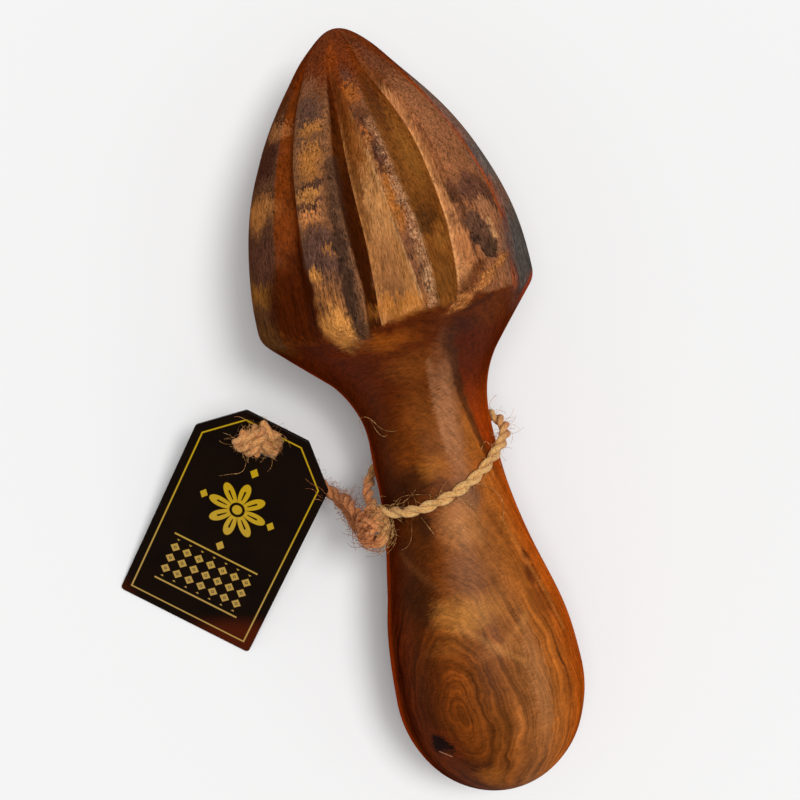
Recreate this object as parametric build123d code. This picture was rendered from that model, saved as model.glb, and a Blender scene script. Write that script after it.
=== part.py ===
from build123d import *
import math
import os

# Wooden citrus reamer, lying on its side, with a card tag tied to its neck by jute twine.
# Millimetres and degrees. +Z is up, the tip points to +Y, and the origin is under the middle of the wood.
# The turned axis falls a little towards the grip, because the fluted head is the thicker end.

# Turned outline, measured from the tip along the axis, and outwards from it
nose_radius = 4.6
nose_sweep = 42.5
head_length = 54.1
head_radius = 27.8
head_rise_length = 21.9
head_crown_length = 20.6
rim_radius = 4.6
shoulder_angle = 41.4
shoulder_blend_radius = 21.6
waist_radius = 12.65
waist_length = 2.4
grip_length = 49.0
grip_radius = 19.25
grip_rise_length = 24.5
grip_crown_length = 21.8
butt_length = 22.4
quarter_round_share = 0.5523

# Carved flutes. Turns are about the axis, with 0 up and 90 to the right.
# Each row: turn of the left edge near the tip and at the rim, turn of the right edge at both,
# share of the width that lies left of the valley at both, share of the full depth,
# and share of the head's length where it starts
flute_depth = 4.6
flute_table = [
    (-55.0, -57.0, -46.0, -34.0, 0.50, 0.50, 0.62, 0.11),
    (-19.5, -15.5, -3.5, 11.0, 0.44, 0.34, 1.00, 0.15),
    (10.0, 17.5, 38.5, 34.0, 0.80, 0.72, 0.95, 0.17),
    (62.0, 64.5, 71.0, 67.5, 0.50, 0.50, 0.30, 0.22),
    (92.0, 90.0, 110.0, 108.0, 0.45, 0.45, 0.85, 0.14),
    (124.0, 126.0, 144.0, 148.0, 0.55, 0.55, 0.95, 0.12),
    (170.0, 170.0, 190.0, 190.0, 0.50, 0.50, 0.90, 0.15),
    (206.0, 202.0, 224.0, 222.0, 0.40, 0.40, 0.90, 0.13),
    (233.0, 234.0, 251.0, 254.0, 0.55, 0.55, 0.85, 0.16),
    (266.5, 266.0, 277.5, 278.0, 0.50, 0.50, 0.45, 0.12),
]
# Stations down each flute: share of its run, share of its width, and share of its depth
flute_stations = [
    (0.00, 0.40, -0.08),
    (0.09, 0.76, 0.40),
    (0.24, 0.96, 0.80),
    (0.50, 1.00, 1.00),
    (0.80, 1.00, 1.00),
    (0.93, 0.84, 0.66),
    (1.00, 0.50, -0.08),
]
flute_end_share = 1.09
flute_overrun_share = 1.5
flute_least_height = 0.5

# Twine, and its turn round the neck
twine_diameter = 2.4
running_gap = 0.3
loop_distance = 3.4
loop_fall_front = 5.9
loop_fall_side = -3.6
loop_steps = 18
loop_start_turn = -57.0
loop_end_turn = 293.0
kink_height = 1.3
kink_turn = 86.0
kink_spread = 17.0

# Knot that ties the turn, beside the neck
neck_knot_radius = 4.7
neck_knot_turn = -62.0
neck_knot_distance = 12.4
neck_knot_height = 3.4
neck_knot_lean = (25.0, 40.0)

# Card tag and its hole. It lies with its bottom edge on the table.
tag_width = 30.0
tag_length = 50.0
tag_thickness = 0.8
tag_corner_cut = 8.0
tag_hole_diameter = 6.0
tag_hole_distance = 4.5
tag_hole_x = -31.5
tag_hole_y = 1.6
tag_heading = -130.5
tag_slope = 23.4

# Knot on the tag's face, with its cut tail
tag_knot_radius = 3.7
tag_knot_across = -3.6
tag_knot_down = 0.4
knot_seat_share = 0.8
tag_knot_lean = (-20.0, 30.0)
tail_diameter = 3.4
tail_length = 2.1

# A knot's wraps, each tilted about X and then about Y, and the share of its radius that its core fills
knot_wraps = [(10.0, 0.0), (100.0, 0.0), (15.0, 95.0)]
knot_core_share = 0.7

# Lead between the two knots: two strands that pass one over the other under the tag's edge.
# Points of each route, from the neck's knot to the tag's.
lead_routes = {
    "lead_strand_left": [
        (-17.4, -15.7, 28.1),
        (-18.3, -14.0, 25.3),
        (-18.9, -12.9, 21.8),
        (-19.6, -12.7, 18.2),
        (-21.7, -11.1, 14.4),
        (-24.6, -7.1, 14.3),
        (-26.8, -1.5, 15.4),
        (-29.9, 3.1, 17.0),
        (-32.4, 2.4, 21.7),
    ],
    "lead_strand_right": [
        (-17.9, -18.5, 26.7),
        (-18.5, -17.6, 23.1),
        (-18.9, -16.3, 18.9),
        (-19.6, -14.7, 14.4),
        (-21.8, -11.7, 11.0),
        (-25.0, -7.4, 10.4),
        (-28.4, -3.0, 12.0),
        (-31.5, 1.3, 15.5),
        (-34.0, 0.5, 20.7),
    ],
}
arc_run_share = 0.45


def polar(turn, radius, along):
    """A point of the reamer's own frame: X right, Y up and Z along the axis from the tip."""
    angle = math.radians(turn)
    return Vector(radius * math.sin(angle), radius * math.cos(angle), along)


def outline(grow=0):
    """Edges of the turned outline in the XZ plane, from tip to butt, with its radii grown by grow."""
    sweep_angle = math.radians(nose_sweep)
    fall = math.radians(shoulder_angle)
    nose_x = nose_radius * math.sin(sweep_angle) + grow
    nose_z = nose_radius * (1 - math.cos(sweep_angle))
    crown_x = head_radius + grow
    rim_x = crown_x - rim_radius * (1 - math.cos(fall))
    rim_z = head_length + rim_radius * math.sin(fall)
    waist_x = waist_radius + grow
    blend_x = waist_x + shoulder_blend_radius * (1 - math.cos(fall))
    blend_z = rim_z + (rim_x - blend_x) / math.tan(fall)
    waist_z = blend_z + shoulder_blend_radius * math.sin(fall)
    neck_z = waist_z + waist_length
    bulge_x = grip_radius + grow
    bulge_z = neck_z + grip_length
    butt_z = bulge_z + butt_length
    cone_way = (-math.sin(fall), 0, math.cos(fall))
    rise_x = nose_x + head_rise_length * math.cos(sweep_angle)
    rise_z = nose_z + head_rise_length * math.sin(sweep_angle)
    return [
        TangentArc((grow, 0, 0), (nose_x, 0, nose_z), tangent=(1, 0, 0)),
        Bezier(
            (nose_x, 0, nose_z),
            (rise_x, 0, rise_z),
            (crown_x, 0, head_length - head_crown_length),
            (crown_x, 0, head_length),
        ),
        TangentArc((crown_x, 0, head_length), (rim_x, 0, rim_z), tangent=(0, 0, 1)),
        Line((rim_x, 0, rim_z), (blend_x, 0, blend_z)),
        TangentArc((blend_x, 0, blend_z), (waist_x, 0, waist_z), tangent=cone_way),
        Line((waist_x, 0, waist_z), (waist_x, 0, neck_z)),
        Bezier(
            (waist_x, 0, neck_z),
            (waist_x, 0, neck_z + grip_rise_length),
            (bulge_x, 0, bulge_z - grip_crown_length),
            (bulge_x, 0, bulge_z),
        ),
        Bezier(
            (bulge_x, 0, bulge_z),
            (bulge_x, 0, bulge_z + quarter_round_share * butt_length),
            (quarter_round_share * bulge_x, 0, butt_z),
            (0, 0, butt_z),
        ),
    ]


def turned_body(grow=0):
    """The outline turned about the axis."""
    edges = outline(grow)
    start = edges[0] @ 0
    end = edges[-1] @ 1
    ends = [Line(start, (0, 0, 0))] if grow else []
    face = make_face(edges + ends + [Line(end, (0, 0, 0))])
    return revolve(face, Axis.Z)


def outline_samples(steps=40):
    """Points (along, radius) of the outline, in order."""
    points = []
    for edge in outline():
        points += [edge @ (step / steps) for step in range(steps)]
    return [(point.Z, point.X) for point in points]


samples = outline_samples()


def radius_at(along):
    """Radius of the outline at a distance from the tip."""
    for (low, low_radius), (high, high_radius) in zip(samples, samples[1:]):
        if low <= along <= high and high > low:
            return low_radius + (high_radius - low_radius) * (along - low) / (high - low)
    return samples[-1][1]


def lowest(points, tilt):
    """How far below the tip the outline reaches when the axis falls by tilt."""
    return max(along * math.sin(tilt) + radius * math.cos(tilt) for along, radius in points)


def resting_tilt():
    """Angle at which the head, on the two ribs beside its lowest flute, and the grip both touch the table."""
    low_flute = min(flute_table, key=lambda row: abs((row[1] + row[3]) / 2 - 180))
    rib_share = math.cos(math.radians((low_flute[3] - low_flute[1]) / 2))
    head = [(along, radius * rib_share) for along, radius in samples if along <= head_length]
    grip = [(along, radius) for along, radius in samples if along > head_length + head_radius]
    level, steep = 0.0, math.atan(head_radius / head_length)
    for _ in range(50):
        middle = (level + steep) / 2
        if lowest(head, middle) > lowest(grip, middle):
            level = middle
        else:
            steep = middle
    return level


def flute_cutter(row):
    """A tapering V that follows the head, with flat walls from valley to edge, run out at both ends."""
    tip_left, rim_left, tip_right, rim_right, tip_valley, rim_valley, depth_share, start_share = row
    start = start_share * head_length
    run = (flute_end_share - start_share) * head_length
    sections = []
    for way, width_share, station_share in flute_stations:
        along = start + way * run
        rim_way = way * run / (head_length - start)
        depth = flute_depth * depth_share * station_share
        left_turn = tip_left + (rim_left - tip_left) * rim_way
        right_turn = tip_right + (rim_right - tip_right) * rim_way
        valley_share = tip_valley + (rim_valley - tip_valley) * rim_way
        valley_turn = left_turn + (right_turn - left_turn) * valley_share
        valley_radius = radius_at(along) - depth
        edge_radius = valley_radius + max(depth, flute_least_height)
        valley = polar(valley_turn, valley_radius, along)
        left = polar(valley_turn + (left_turn - valley_turn) * width_share, edge_radius, along)
        right = polar(valley_turn + (right_turn - valley_turn) * width_share, edge_radius, along)
        left = valley + (left - valley) * flute_overrun_share
        right = valley + (right - valley) * flute_overrun_share
        sections.append(make_face(Polyline(valley, right, left, close=True)))
    return loft(sections)


def reamer_body():
    """The turned wood with its carved flutes, in the reamer's own frame."""
    body = turned_body()
    for row in flute_table:
        body -= flute_cutter(row)
    return body


def tube(points, diameter):
    """A round tube along straight runs, with an arc at each corner as large as its runs allow."""
    points = [Vector(*point) for point in points]
    runs = [b - a for a, b in zip(points, points[1:])]
    radii = []
    for before, after in zip(runs, runs[1:]):
        half_turn = math.radians(before.get_angle(after)) / 2
        radii.append(arc_run_share * min(before.length, after.length) / math.tan(half_turn))
    path = FilletPolyline(*points, radius=radii)
    section = Plane(origin=path @ 0, z_dir=path % 0) * Circle(diameter / 2)
    return sweep(section, path=path), path, radii


def loop_place(turn):
    """Point of the turn of twine round the neck, at an angle about the axis."""
    angle = math.radians(turn)
    along = loop_start + loop_fall_front * math.cos(angle) + loop_fall_side * math.sin(angle)
    lift = kink_height * math.exp(-(((turn - kink_turn) / kink_spread) ** 2))
    radius = radius_at(along) + running_gap + twine_diameter / 2 + lift
    return polar(turn, radius, along)


def neck_loop():
    """The turn of twine, from one side of the knot round the neck to its other side."""
    step = (loop_end_turn - loop_start_turn) / loop_steps
    corner_share = 1 / math.cos(math.radians(step / 2))
    points = []
    for index in range(loop_steps + 1):
        place = loop_place(loop_start_turn + index * step)
        points.append(Vector(place.X * corner_share, place.Y * corner_share, place.Z))
    return tube(points, twine_diameter)


def wrapped_ball(radius, lean):
    """A knot: turns of twine, tilted against each other, round a core."""
    wrap_radius = twine_diameter / 2
    ball = Sphere(radius * knot_core_share)
    for about_x, about_y in knot_wraps:
        ball += Rot(about_x, about_y, 0) * Torus(radius - wrap_radius, wrap_radius)
    return Rot(lean[0], lean[1], 0) * ball


def neck_knot():
    """The knot that ties the turn, cut clear of the wood it lies against."""
    along = neck_start + neck_knot_distance
    centre = polar(neck_knot_turn, radius_at(along) + neck_knot_height, along)
    ball = Pos(centre) * wrapped_ball(neck_knot_radius, neck_knot_lean)
    return ball - turned_body(running_gap), centre


def tag_frame():
    """Plane of the tag at its hole: X across it, -Y down it and Z out of its printed face."""
    slope = math.radians(tag_slope)
    heading = math.radians(tag_heading)
    down = Vector(math.cos(heading) * math.cos(slope), math.sin(heading) * math.cos(slope), -math.sin(slope))
    across = Vector(-math.sin(heading), math.cos(heading), 0)
    below_hole = tag_length - tag_hole_distance
    height = below_hole * math.sin(slope) + tag_thickness / 2 * math.cos(slope)
    return Plane(origin=(tag_hole_x, tag_hole_y, height), x_dir=across, z_dir=across.cross(down * -1))


def hang_tag():
    """The card: a rectangle with both top corners cut off, and a round hole near its top edge."""
    half = tag_width / 2
    top = tag_hole_distance
    bottom = top - tag_length
    outline_points = [
        (-half, bottom),
        (half, bottom),
        (half, top - tag_corner_cut),
        (half - tag_corner_cut, top),
        (-half + tag_corner_cut, top),
        (-half, top - tag_corner_cut),
    ]
    card = extrude(make_face(Polyline(*outline_points, close=True)), tag_thickness / 2, both=True)
    card -= Cylinder(tag_hole_diameter / 2, 2 * tag_thickness)
    return tag_frame().location * card


def tag_knot():
    """The knot on the tag's face, flat where it lies on the card, with the twine's cut tail over the hole."""
    face_height = tag_thickness / 2 + running_gap
    centre_height = face_height + knot_seat_share * tag_knot_radius
    ball = Pos(tag_knot_across, -tag_knot_down, centre_height) * wrapped_ball(tag_knot_radius, tag_knot_lean)
    tail_height = face_height + knot_seat_share * tail_diameter / 2
    tail_run = tail_length - tag_knot_across
    tail_middle = (tail_length + tag_knot_across) / 2
    tail = Rot(0, 90, 0) * Cylinder(tail_diameter / 2, tail_run)
    tail = Pos(tail_middle, -tag_knot_down, tail_height) * tail
    below = Pos(0, 0, face_height - tag_knot_radius) * Box(tag_width, tag_width, 2 * tag_knot_radius)
    return tag_frame().location * (ball + tail - below)


tilt = resting_tilt()
neck_start = (outline()[5] @ 1).Z
loop_start = neck_start + loop_distance
axis_fall = Vector(0, -math.cos(tilt), -math.sin(tilt))
wood_at_tip = Plane(origin=(0, 0, 0), x_dir=(1, 0, 0), z_dir=axis_fall).location * reamer_body()
wood_box = wood_at_tip.bounding_box()
wood_middle = wood_box.center()
tip = Vector(-wood_middle.X, -wood_middle.Y, -wood_box.min.Z)
reamer_frame = Plane(origin=tip, x_dir=(1, 0, 0), z_dir=axis_fall).location

loop_solid, loop_path, loop_radii = neck_loop()
knot_solid, knot_centre = neck_knot()
parts = {
    "reamer_body": Pos(tip) * wood_at_tip,
    "neck_loop": reamer_frame * loop_solid,
    "neck_knot": reamer_frame * knot_solid,
    "hang_tag": hang_tag(),
    "tag_knot": tag_knot(),
}
for name, route in lead_routes.items():
    solid, path, radii = tube(route, twine_diameter)
    parts[name] = solid
    section_area = math.pi * (twine_diameter / 2) ** 2
    print(name, "length", round(path.length, 1), "radii", [round(radius, 1) for radius in radii])
    print(name, "volume share", round(solid.volume / (section_area * path.length), 3))

os.makedirs("parts", exist_ok=True)
for name, solid in parts.items():
    export_step(solid, os.path.join("parts", name + ".step"))

knot_place = (reamer_frame * Pos(knot_centre)).position
print("tilt", round(math.degrees(tilt), 2), "tip", [round(value, 2) for value in tip])
print("neck knot at", [round(value, 2) for value in knot_place], "turn length", round(loop_path.length, 1))
print("wood size", [round(value, 2) for value in wood_box.size])
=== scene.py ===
import math
import random

import bmesh
import bpy
import numpy as np
from mathutils import Matrix, Vector


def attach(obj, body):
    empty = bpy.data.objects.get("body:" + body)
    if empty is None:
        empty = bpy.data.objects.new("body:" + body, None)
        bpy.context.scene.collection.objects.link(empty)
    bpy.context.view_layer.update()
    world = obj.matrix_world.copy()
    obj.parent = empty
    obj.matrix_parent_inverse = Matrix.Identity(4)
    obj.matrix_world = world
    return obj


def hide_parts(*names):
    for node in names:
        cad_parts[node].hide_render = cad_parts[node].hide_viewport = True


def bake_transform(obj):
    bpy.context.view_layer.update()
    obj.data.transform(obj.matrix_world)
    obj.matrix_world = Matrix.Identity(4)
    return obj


# Wooden citrus reamer with a card tag tied to its neck by jute twine.
# Lengths in this script are millimetres, and MM turns them into Blender's metres.
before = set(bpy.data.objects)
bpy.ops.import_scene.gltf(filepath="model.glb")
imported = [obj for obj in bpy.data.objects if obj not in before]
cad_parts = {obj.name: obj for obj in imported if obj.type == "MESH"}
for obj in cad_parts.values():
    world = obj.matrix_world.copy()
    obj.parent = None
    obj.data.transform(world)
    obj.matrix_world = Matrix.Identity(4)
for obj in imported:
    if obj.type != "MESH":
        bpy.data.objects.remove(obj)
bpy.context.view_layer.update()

MM = 0.001
SEED = 11

# Turned outline, as in the part's source
nose_radius = 4.6
nose_sweep = 42.5
head_length = 54.1
head_radius = 27.8
head_rise_length = 21.9
head_crown_length = 20.6
rim_radius = 4.6
shoulder_angle = 41.4
shoulder_blend_radius = 21.6
waist_radius = 12.65
waist_length = 2.4
grip_length = 49.0
grip_radius = 19.25
grip_rise_length = 24.5
grip_crown_length = 21.8
butt_length = 22.4
quarter_round_share = 0.5523

flute_depth = 4.6
# Flutes on the side that shows, from the left: distance from the tip, turn of the left edge, of the valley
# and of the right edge, and share of the full depth
front_flutes = [
    [
        (6.0, -55.0, -53.0, -51.5, 0.00),
        (10.0, -58.0, -52.5, -46.5, 0.30),
        (18.0, -54.0, -47.0, -41.0, 0.58),
        (30.0, -49.8, -43.0, -36.5, 0.65),
        (42.0, -49.8, -42.0, -34.0, 0.65),
        (51.0, -52.5, -42.0, -31.0, 0.60),
        (57.0, -57.0, -42.0, -25.0, 0.35),
        (60.5, -60.0, -41.0, -17.0, 0.00),
    ],
    [
        (8.0, -15.0, -13.0, -11.0, 0.00),
        (12.0, -14.5, -11.8, -4.0, 0.45),
        (17.0, -14.0, -10.8, 1.2, 0.85),
        (24.0, -14.2, -9.8, 3.4, 1.00),
        (32.0, -14.0, -8.6, 5.0, 1.00),
        (41.0, -12.6, -7.4, 6.8, 1.00),
        (50.0, -11.4, -8.0, 8.8, 0.90),
        (56.0, -13.0, -8.5, 10.0, 0.50),
        (59.5, -15.0, -8.0, 10.5, 0.00),
    ],
    [
        (9.6, 15.0, 22.0, 28.0, 0.00),
        (12.0, 14.0, 29.0, 34.0, 0.35),
        (16.5, 12.2, 35.0, 37.6, 0.56),
        (24.0, 12.8, 36.2, 38.0, 0.62),
        (33.0, 14.0, 34.0, 35.6, 0.60),
        (41.0, 15.4, 32.6, 35.4, 0.60),
        (48.0, 15.9, 30.4, 36.4, 0.60),
        (53.0, 15.4, 27.4, 32.0, 0.42),
        (56.8, 15.2, 22.0, 24.5, 0.00),
    ],
    [
        (11.0, 66.0, 68.0, 71.0, 0.00),
        (18.0, 64.6, 67.2, 71.0, 0.22),
        (30.0, 64.6, 67.0, 70.0, 0.28),
        (40.0, 62.8, 65.2, 68.0, 0.28),
        (47.0, 58.0, 61.0, 64.0, 0.18),
        (53.0, 54.0, 57.0, 60.0, 0.00),
    ],
]
# The other flutes: left and right edge in degrees, near the tip and at the rim, share of the width that
# lies left of the valley at both ends, share of the full depth, and share of the head where it starts
flute_table = [
    (92.0, 90.0, 110.0, 108.0, 0.45, 0.45, 0.85, 0.14),
    (124.0, 126.0, 144.0, 148.0, 0.55, 0.55, 0.95, 0.12),
    (170.0, 170.0, 190.0, 190.0, 0.50, 0.50, 0.90, 0.15),
    (206.0, 202.0, 224.0, 222.0, 0.40, 0.40, 0.90, 0.13),
    (233.0, 234.0, 251.0, 254.0, 0.55, 0.55, 0.85, 0.16),
    (266.5, 266.0, 277.5, 278.0, 0.50, 0.50, 0.45, 0.12),
]
# Stations down each of these: share of its run, share of its width, and share of its depth
flute_stations = [
    (0.00, 0.40, 0.0),
    (0.09, 0.76, 0.40),
    (0.24, 0.96, 0.80),
    (0.50, 1.00, 1.00),
    (0.80, 1.00, 1.00),
    (0.93, 0.84, 0.66),
    (1.00, 0.50, 0.0),
]
flute_end_share = 1.09
# Where the rough head gives way to the smooth shoulder: turn, and distance from the tip
head_border = [
    (-180, 58.0),
    (-75, 57.6),
    (-50, 57.4),
    (-30, 58.6),
    (-20, 59.6),
    (-13, 57.2),
    (-3, 55.8),
    (10, 55.6),
    (20, 55.8),
    (30, 55.0),
    (40, 55.7),
    (50, 55.4),
    (62, 57.0),
    (180, 58.0),
]
# How far hand shaping takes the left side in, at distances from the tip
left_side_inset = [
    (58, 0.0),
    (68, 1.3),
    (76, 1.1),
    (86, 0.5),
    (100, 0.8),
    (112, 1.2),
    (124, 0.8),
    (136, 0.3),
    (146, 0.0),
]

# Where the reamer lies: its tip, and how far its axis falls towards the grip
tip = np.array((-0.02, 77.12, 32.83))
axis_tilt = math.radians(5.81)
reamer_right = np.array((1.0, 0.0, 0.0))
reamer_up = np.array((0.0, -math.sin(axis_tilt), math.cos(axis_tilt)))
reamer_down_axis = np.array((0.0, -math.cos(axis_tilt), -math.sin(axis_tilt)))

# Twine
twine_diameter = 2.4
running_gap = 0.3
loop_distance = 3.4
loop_fall_front = 5.9
loop_fall_side = -3.6
loop_steps = 18
loop_start_turn = -57.0
loop_end_turn = 293.0
kink_height = 1.3
kink_turn = 86.0
kink_spread = 17.0
neck_knot_radius = 4.7
neck_knot_turn = -62.0
neck_knot_distance = 12.4
neck_knot_height = 3.4

# Card tag, in its own plane: X across it, Y up it, and the middle of its hole at the origin
tag_width = 30.0
tag_length = 50.0
tag_thickness = 0.8
tag_corner_cut = 8.0
tag_hole_diameter = 6.0
tag_hole_distance = 4.5
tag_hole_x = -31.5
tag_hole_y = 1.6
tag_heading = -130.5
tag_slope = 23.4
tag_knot_radius = 3.7
tag_knot_across = -3.6
tag_knot_down = 0.4
knot_seat_share = 0.8
tail_diameter = 3.4
tail_length = 2.1

# Routes of the lead's two strands, from the neck's knot to the tag's, as in the part's source
lead_routes = {
    "lead_twine_left": [
        (-17.4, -15.7, 28.1),
        (-18.3, -14.0, 25.3),
        (-18.9, -12.9, 21.8),
        (-19.6, -12.7, 18.2),
        (-21.7, -11.1, 14.4),
        (-24.6, -7.1, 14.3),
        (-26.8, -1.5, 15.4),
        (-29.9, 3.1, 17.0),
        (-32.4, 2.4, 21.7),
    ],
    "lead_twine_right": [
        (-17.9, -18.5, 26.7),
        (-18.5, -17.6, 23.1),
        (-18.9, -16.3, 18.9),
        (-19.6, -14.7, 14.4),
        (-21.8, -11.7, 11.0),
        (-25.0, -7.4, 10.4),
        (-28.4, -3.0, 12.0),
        (-31.5, 1.3, 15.5),
        (-34.0, 0.5, 20.7),
    ],
}
lead_nodes = {"lead_twine_left": "lead_strand_left", "lead_twine_right": "lead_strand_right"}


# Camera, straight above the table
camera_height = 444.0
camera_x = -3.77
camera_y = 3.87
camera_turn = -13.75
camera_sensor = 36.0
camera_lens = 95.1

camera_data = bpy.data.cameras.new("camera")
camera_data.sensor_width = camera_sensor
camera_data.lens = camera_lens
camera = bpy.data.objects.new("camera", camera_data)
camera.location = Vector((camera_x, camera_y, camera_height)) * MM
camera.rotation_euler = (0, 0, math.radians(camera_turn))
bpy.context.collection.objects.link(camera)
bpy.context.scene.camera = camera
bpy.context.scene.view_settings.view_transform = "Standard"


def linear(red, green, blue):
    """A linear colour from the usual 0 to 255 values."""
    shares = [value / 255 for value in (red, green, blue)]
    return tuple(s / 12.92 if s <= 0.04045 else ((s + 0.055) / 1.055) ** 2.4 for s in shares) + (1.0,)


# Node graphs
class Signal:
    """A socket that follows Python arithmetic."""

    def __init__(self, graph, socket):
        self.graph = graph
        self.socket = socket

    def math(self, operation, *values):
        inputs = dict(enumerate(values))
        return self.graph.node("ShaderNodeMath", {"operation": operation}, inputs)

    def __add__(self, other):
        return self.math("ADD", self, other)

    def __sub__(self, other):
        return self.math("SUBTRACT", self, other)

    def __mul__(self, other):
        return self.math("MULTIPLY", self, other)

    def __truediv__(self, other):
        return self.math("DIVIDE", self, other)

    def __pow__(self, other):
        return self.math("POWER", self, other)

    def __rsub__(self, other):
        return self.math("SUBTRACT", other, self)

    def __rtruediv__(self, other):
        return self.math("DIVIDE", other, self)

    __radd__ = __add__
    __rmul__ = __mul__

    def __abs__(self):
        return self.math("ABSOLUTE", self)

    def fraction(self):
        return self.math("FRACT", self)

    def sine(self):
        return self.math("SINE", self)

    def cosine(self):
        return self.math("COSINE", self)

    def root(self):
        return self.math("SQRT", self)

    def at_most(self, other):
        return self.math("MINIMUM", self, other)

    def at_least(self, other):
        return self.math("MAXIMUM", self, other)

    def over(self, low, high):
        """Rises smoothly from 0 to 1 as this value goes from low to high."""
        settings = {"interpolation_type": "SMOOTHSTEP"}
        return self.graph.node("ShaderNodeMapRange", settings, {0: self, 1: low, 2: high, 3: 0.0, 4: 1.0})

    def under(self, low, high):
        """Falls smoothly from 1 to 0 as this value goes from low to high."""
        settings = {"interpolation_type": "SMOOTHSTEP"}
        return self.graph.node("ShaderNodeMapRange", settings, {0: self, 1: low, 2: high, 3: 1.0, 4: 0.0})


class Arrow(Signal):
    """A socket that holds a vector."""

    def vector(self, operation, *values, output=0):
        inputs = dict(enumerate(values))
        return self.graph.node("ShaderNodeVectorMath", {"operation": operation}, inputs, output, Arrow)

    def __add__(self, other):
        return self.vector("ADD", self, other)

    def __sub__(self, other):
        return self.vector("SUBTRACT", self, other)

    def __mul__(self, other):
        if isinstance(other, (int, float)) or type(other) is Signal:
            return self.scaled(other)
        return self.vector("MULTIPLY", self, other)

    def dot(self, other):
        settings = {"operation": "DOT_PRODUCT"}
        return self.graph.node("ShaderNodeVectorMath", settings, {0: self, 1: other}, 1)

    def cross(self, other):
        return self.vector("CROSS_PRODUCT", self, other)

    def length(self):
        return self.graph.node("ShaderNodeVectorMath", {"operation": "LENGTH"}, {0: self}, 1)

    def scaled(self, share):
        return self.graph.node("ShaderNodeVectorMath", {"operation": "SCALE"}, {0: self, 3: share}, 0, Arrow)


class Graph:
    """A node tree under construction."""

    def __init__(self, tree):
        self.tree = tree

    def node(self, kind, settings=None, inputs=None, output=0, result=Signal):
        """One node: its settings, then the values or links of its sockets."""
        made = self.tree.nodes.new(kind)
        for key, value in (settings or {}).items():
            if key == "stops":
                ramp = made.color_ramp
                while len(ramp.elements) < len(value):
                    ramp.elements.new(1.0)
                for element, (place, colour) in zip(ramp.elements, value):
                    element.position = place
                    element.color = colour
            else:
                setattr(made, key, value)
        for key, value in (inputs or {}).items():
            values = value if isinstance(value, list) else [value]
            for each in values:
                if isinstance(each, Signal):
                    self.tree.links.new(each.socket, made.inputs[key])
                else:
                    made.inputs[key].default_value = each
        return result(self, made.outputs[output]) if made.outputs else None


class Finish(Graph):
    """A material."""

    def __init__(self, name):
        self.material = bpy.data.materials.new(name)
        self.material.use_nodes = True
        self.material.node_tree.nodes.clear()
        super().__init__(self.material.node_tree)

    def place(self):
        """Object coordinates in millimetres."""
        spot = self.node("ShaderNodeTexCoord", None, None, 3, Arrow)
        return spot * (1 / MM)

    def attribute(self, name, output=2):
        kind = Signal if output == 2 else Arrow
        return self.node("ShaderNodeAttribute", {"attribute_name": name}, None, output, kind)

    def noise(self, where, scale, detail=3.0, roughness=0.55, distortion=0.0):
        inputs = {"Vector": where, "Scale": scale, "Detail": detail, "Roughness": roughness, "Distortion": distortion}
        return self.node("ShaderNodeTexNoise", None, inputs)

    def cells(self, where, scale, randomness=1.0):
        return self.node("ShaderNodeTexVoronoi", None, {"Vector": where, "Scale": scale, "Randomness": randomness})

    def bundle(self, x, y, z):
        return self.node("ShaderNodeCombineXYZ", None, {0: x, 1: y, 2: z}, 0, Arrow)

    def blend(self, share, low, high, way="MIX"):
        """Two colours mixed."""
        settings = {"data_type": "RGBA", "blend_type": way, "clamp_factor": True}
        return self.node("ShaderNodeMix", settings, {0: share, 6: low, 7: high}, 2, Arrow)

    def ramp(self, share, stops):
        return self.node("ShaderNodeValToRGB", {"stops": stops}, {0: share}, 0, Arrow)

    def bump(self, height, distance, strength=1.0, normal=None):
        inputs = {"Height": height, "Distance": distance, "Strength": strength}
        if normal:
            inputs["Normal"] = normal
        return self.node("ShaderNodeBump", None, inputs, 0, Arrow)

    def finish(self, **sockets):
        names = {
            "colour": "Base Color",
            "roughness": "Roughness",
            "normal": "Normal",
            "metallic": "Metallic",
            "coat": "Coat Weight",
            "coat_roughness": "Coat Roughness",
            "specular": "Specular IOR Level",
            "specular_tint": "Specular Tint",
            "sheen": "Sheen Weight",
            "sheen_roughness": "Sheen Roughness",
        }
        inputs = {names[key]: value for key, value in sockets.items()}
        surface = self.node("ShaderNodeBsdfPrincipled", None, inputs)
        self.node("ShaderNodeOutputMaterial", None, {"Surface": surface})
        return self.material


# Small helpers for meshes
def mesh_object(name, points, faces, material):
    """A mesh object at the origin from points in millimetres."""
    mesh = bpy.data.meshes.new(name)
    mesh.from_pydata([tuple(point) for point in np.asarray(points) * MM], [], faces)
    mesh.materials.append(material)
    mesh.polygons.foreach_set("use_smooth", [True] * len(mesh.polygons))
    mesh.update()
    made = bpy.data.objects.new(name, mesh)
    bpy.context.collection.objects.link(made)
    return made


def settle(source, name):
    """A plain mesh object of what a modifier or curve gives, in place of its source."""
    graph = bpy.context.evaluated_depsgraph_get()
    mesh = bpy.data.meshes.new_from_object(source.evaluated_get(graph), preserve_all_data_layers=True, depsgraph=graph)
    mesh.name = name
    made = bpy.data.objects.new(name, mesh)
    bpy.context.collection.objects.link(made)
    bpy.data.objects.remove(source)
    return made


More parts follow.
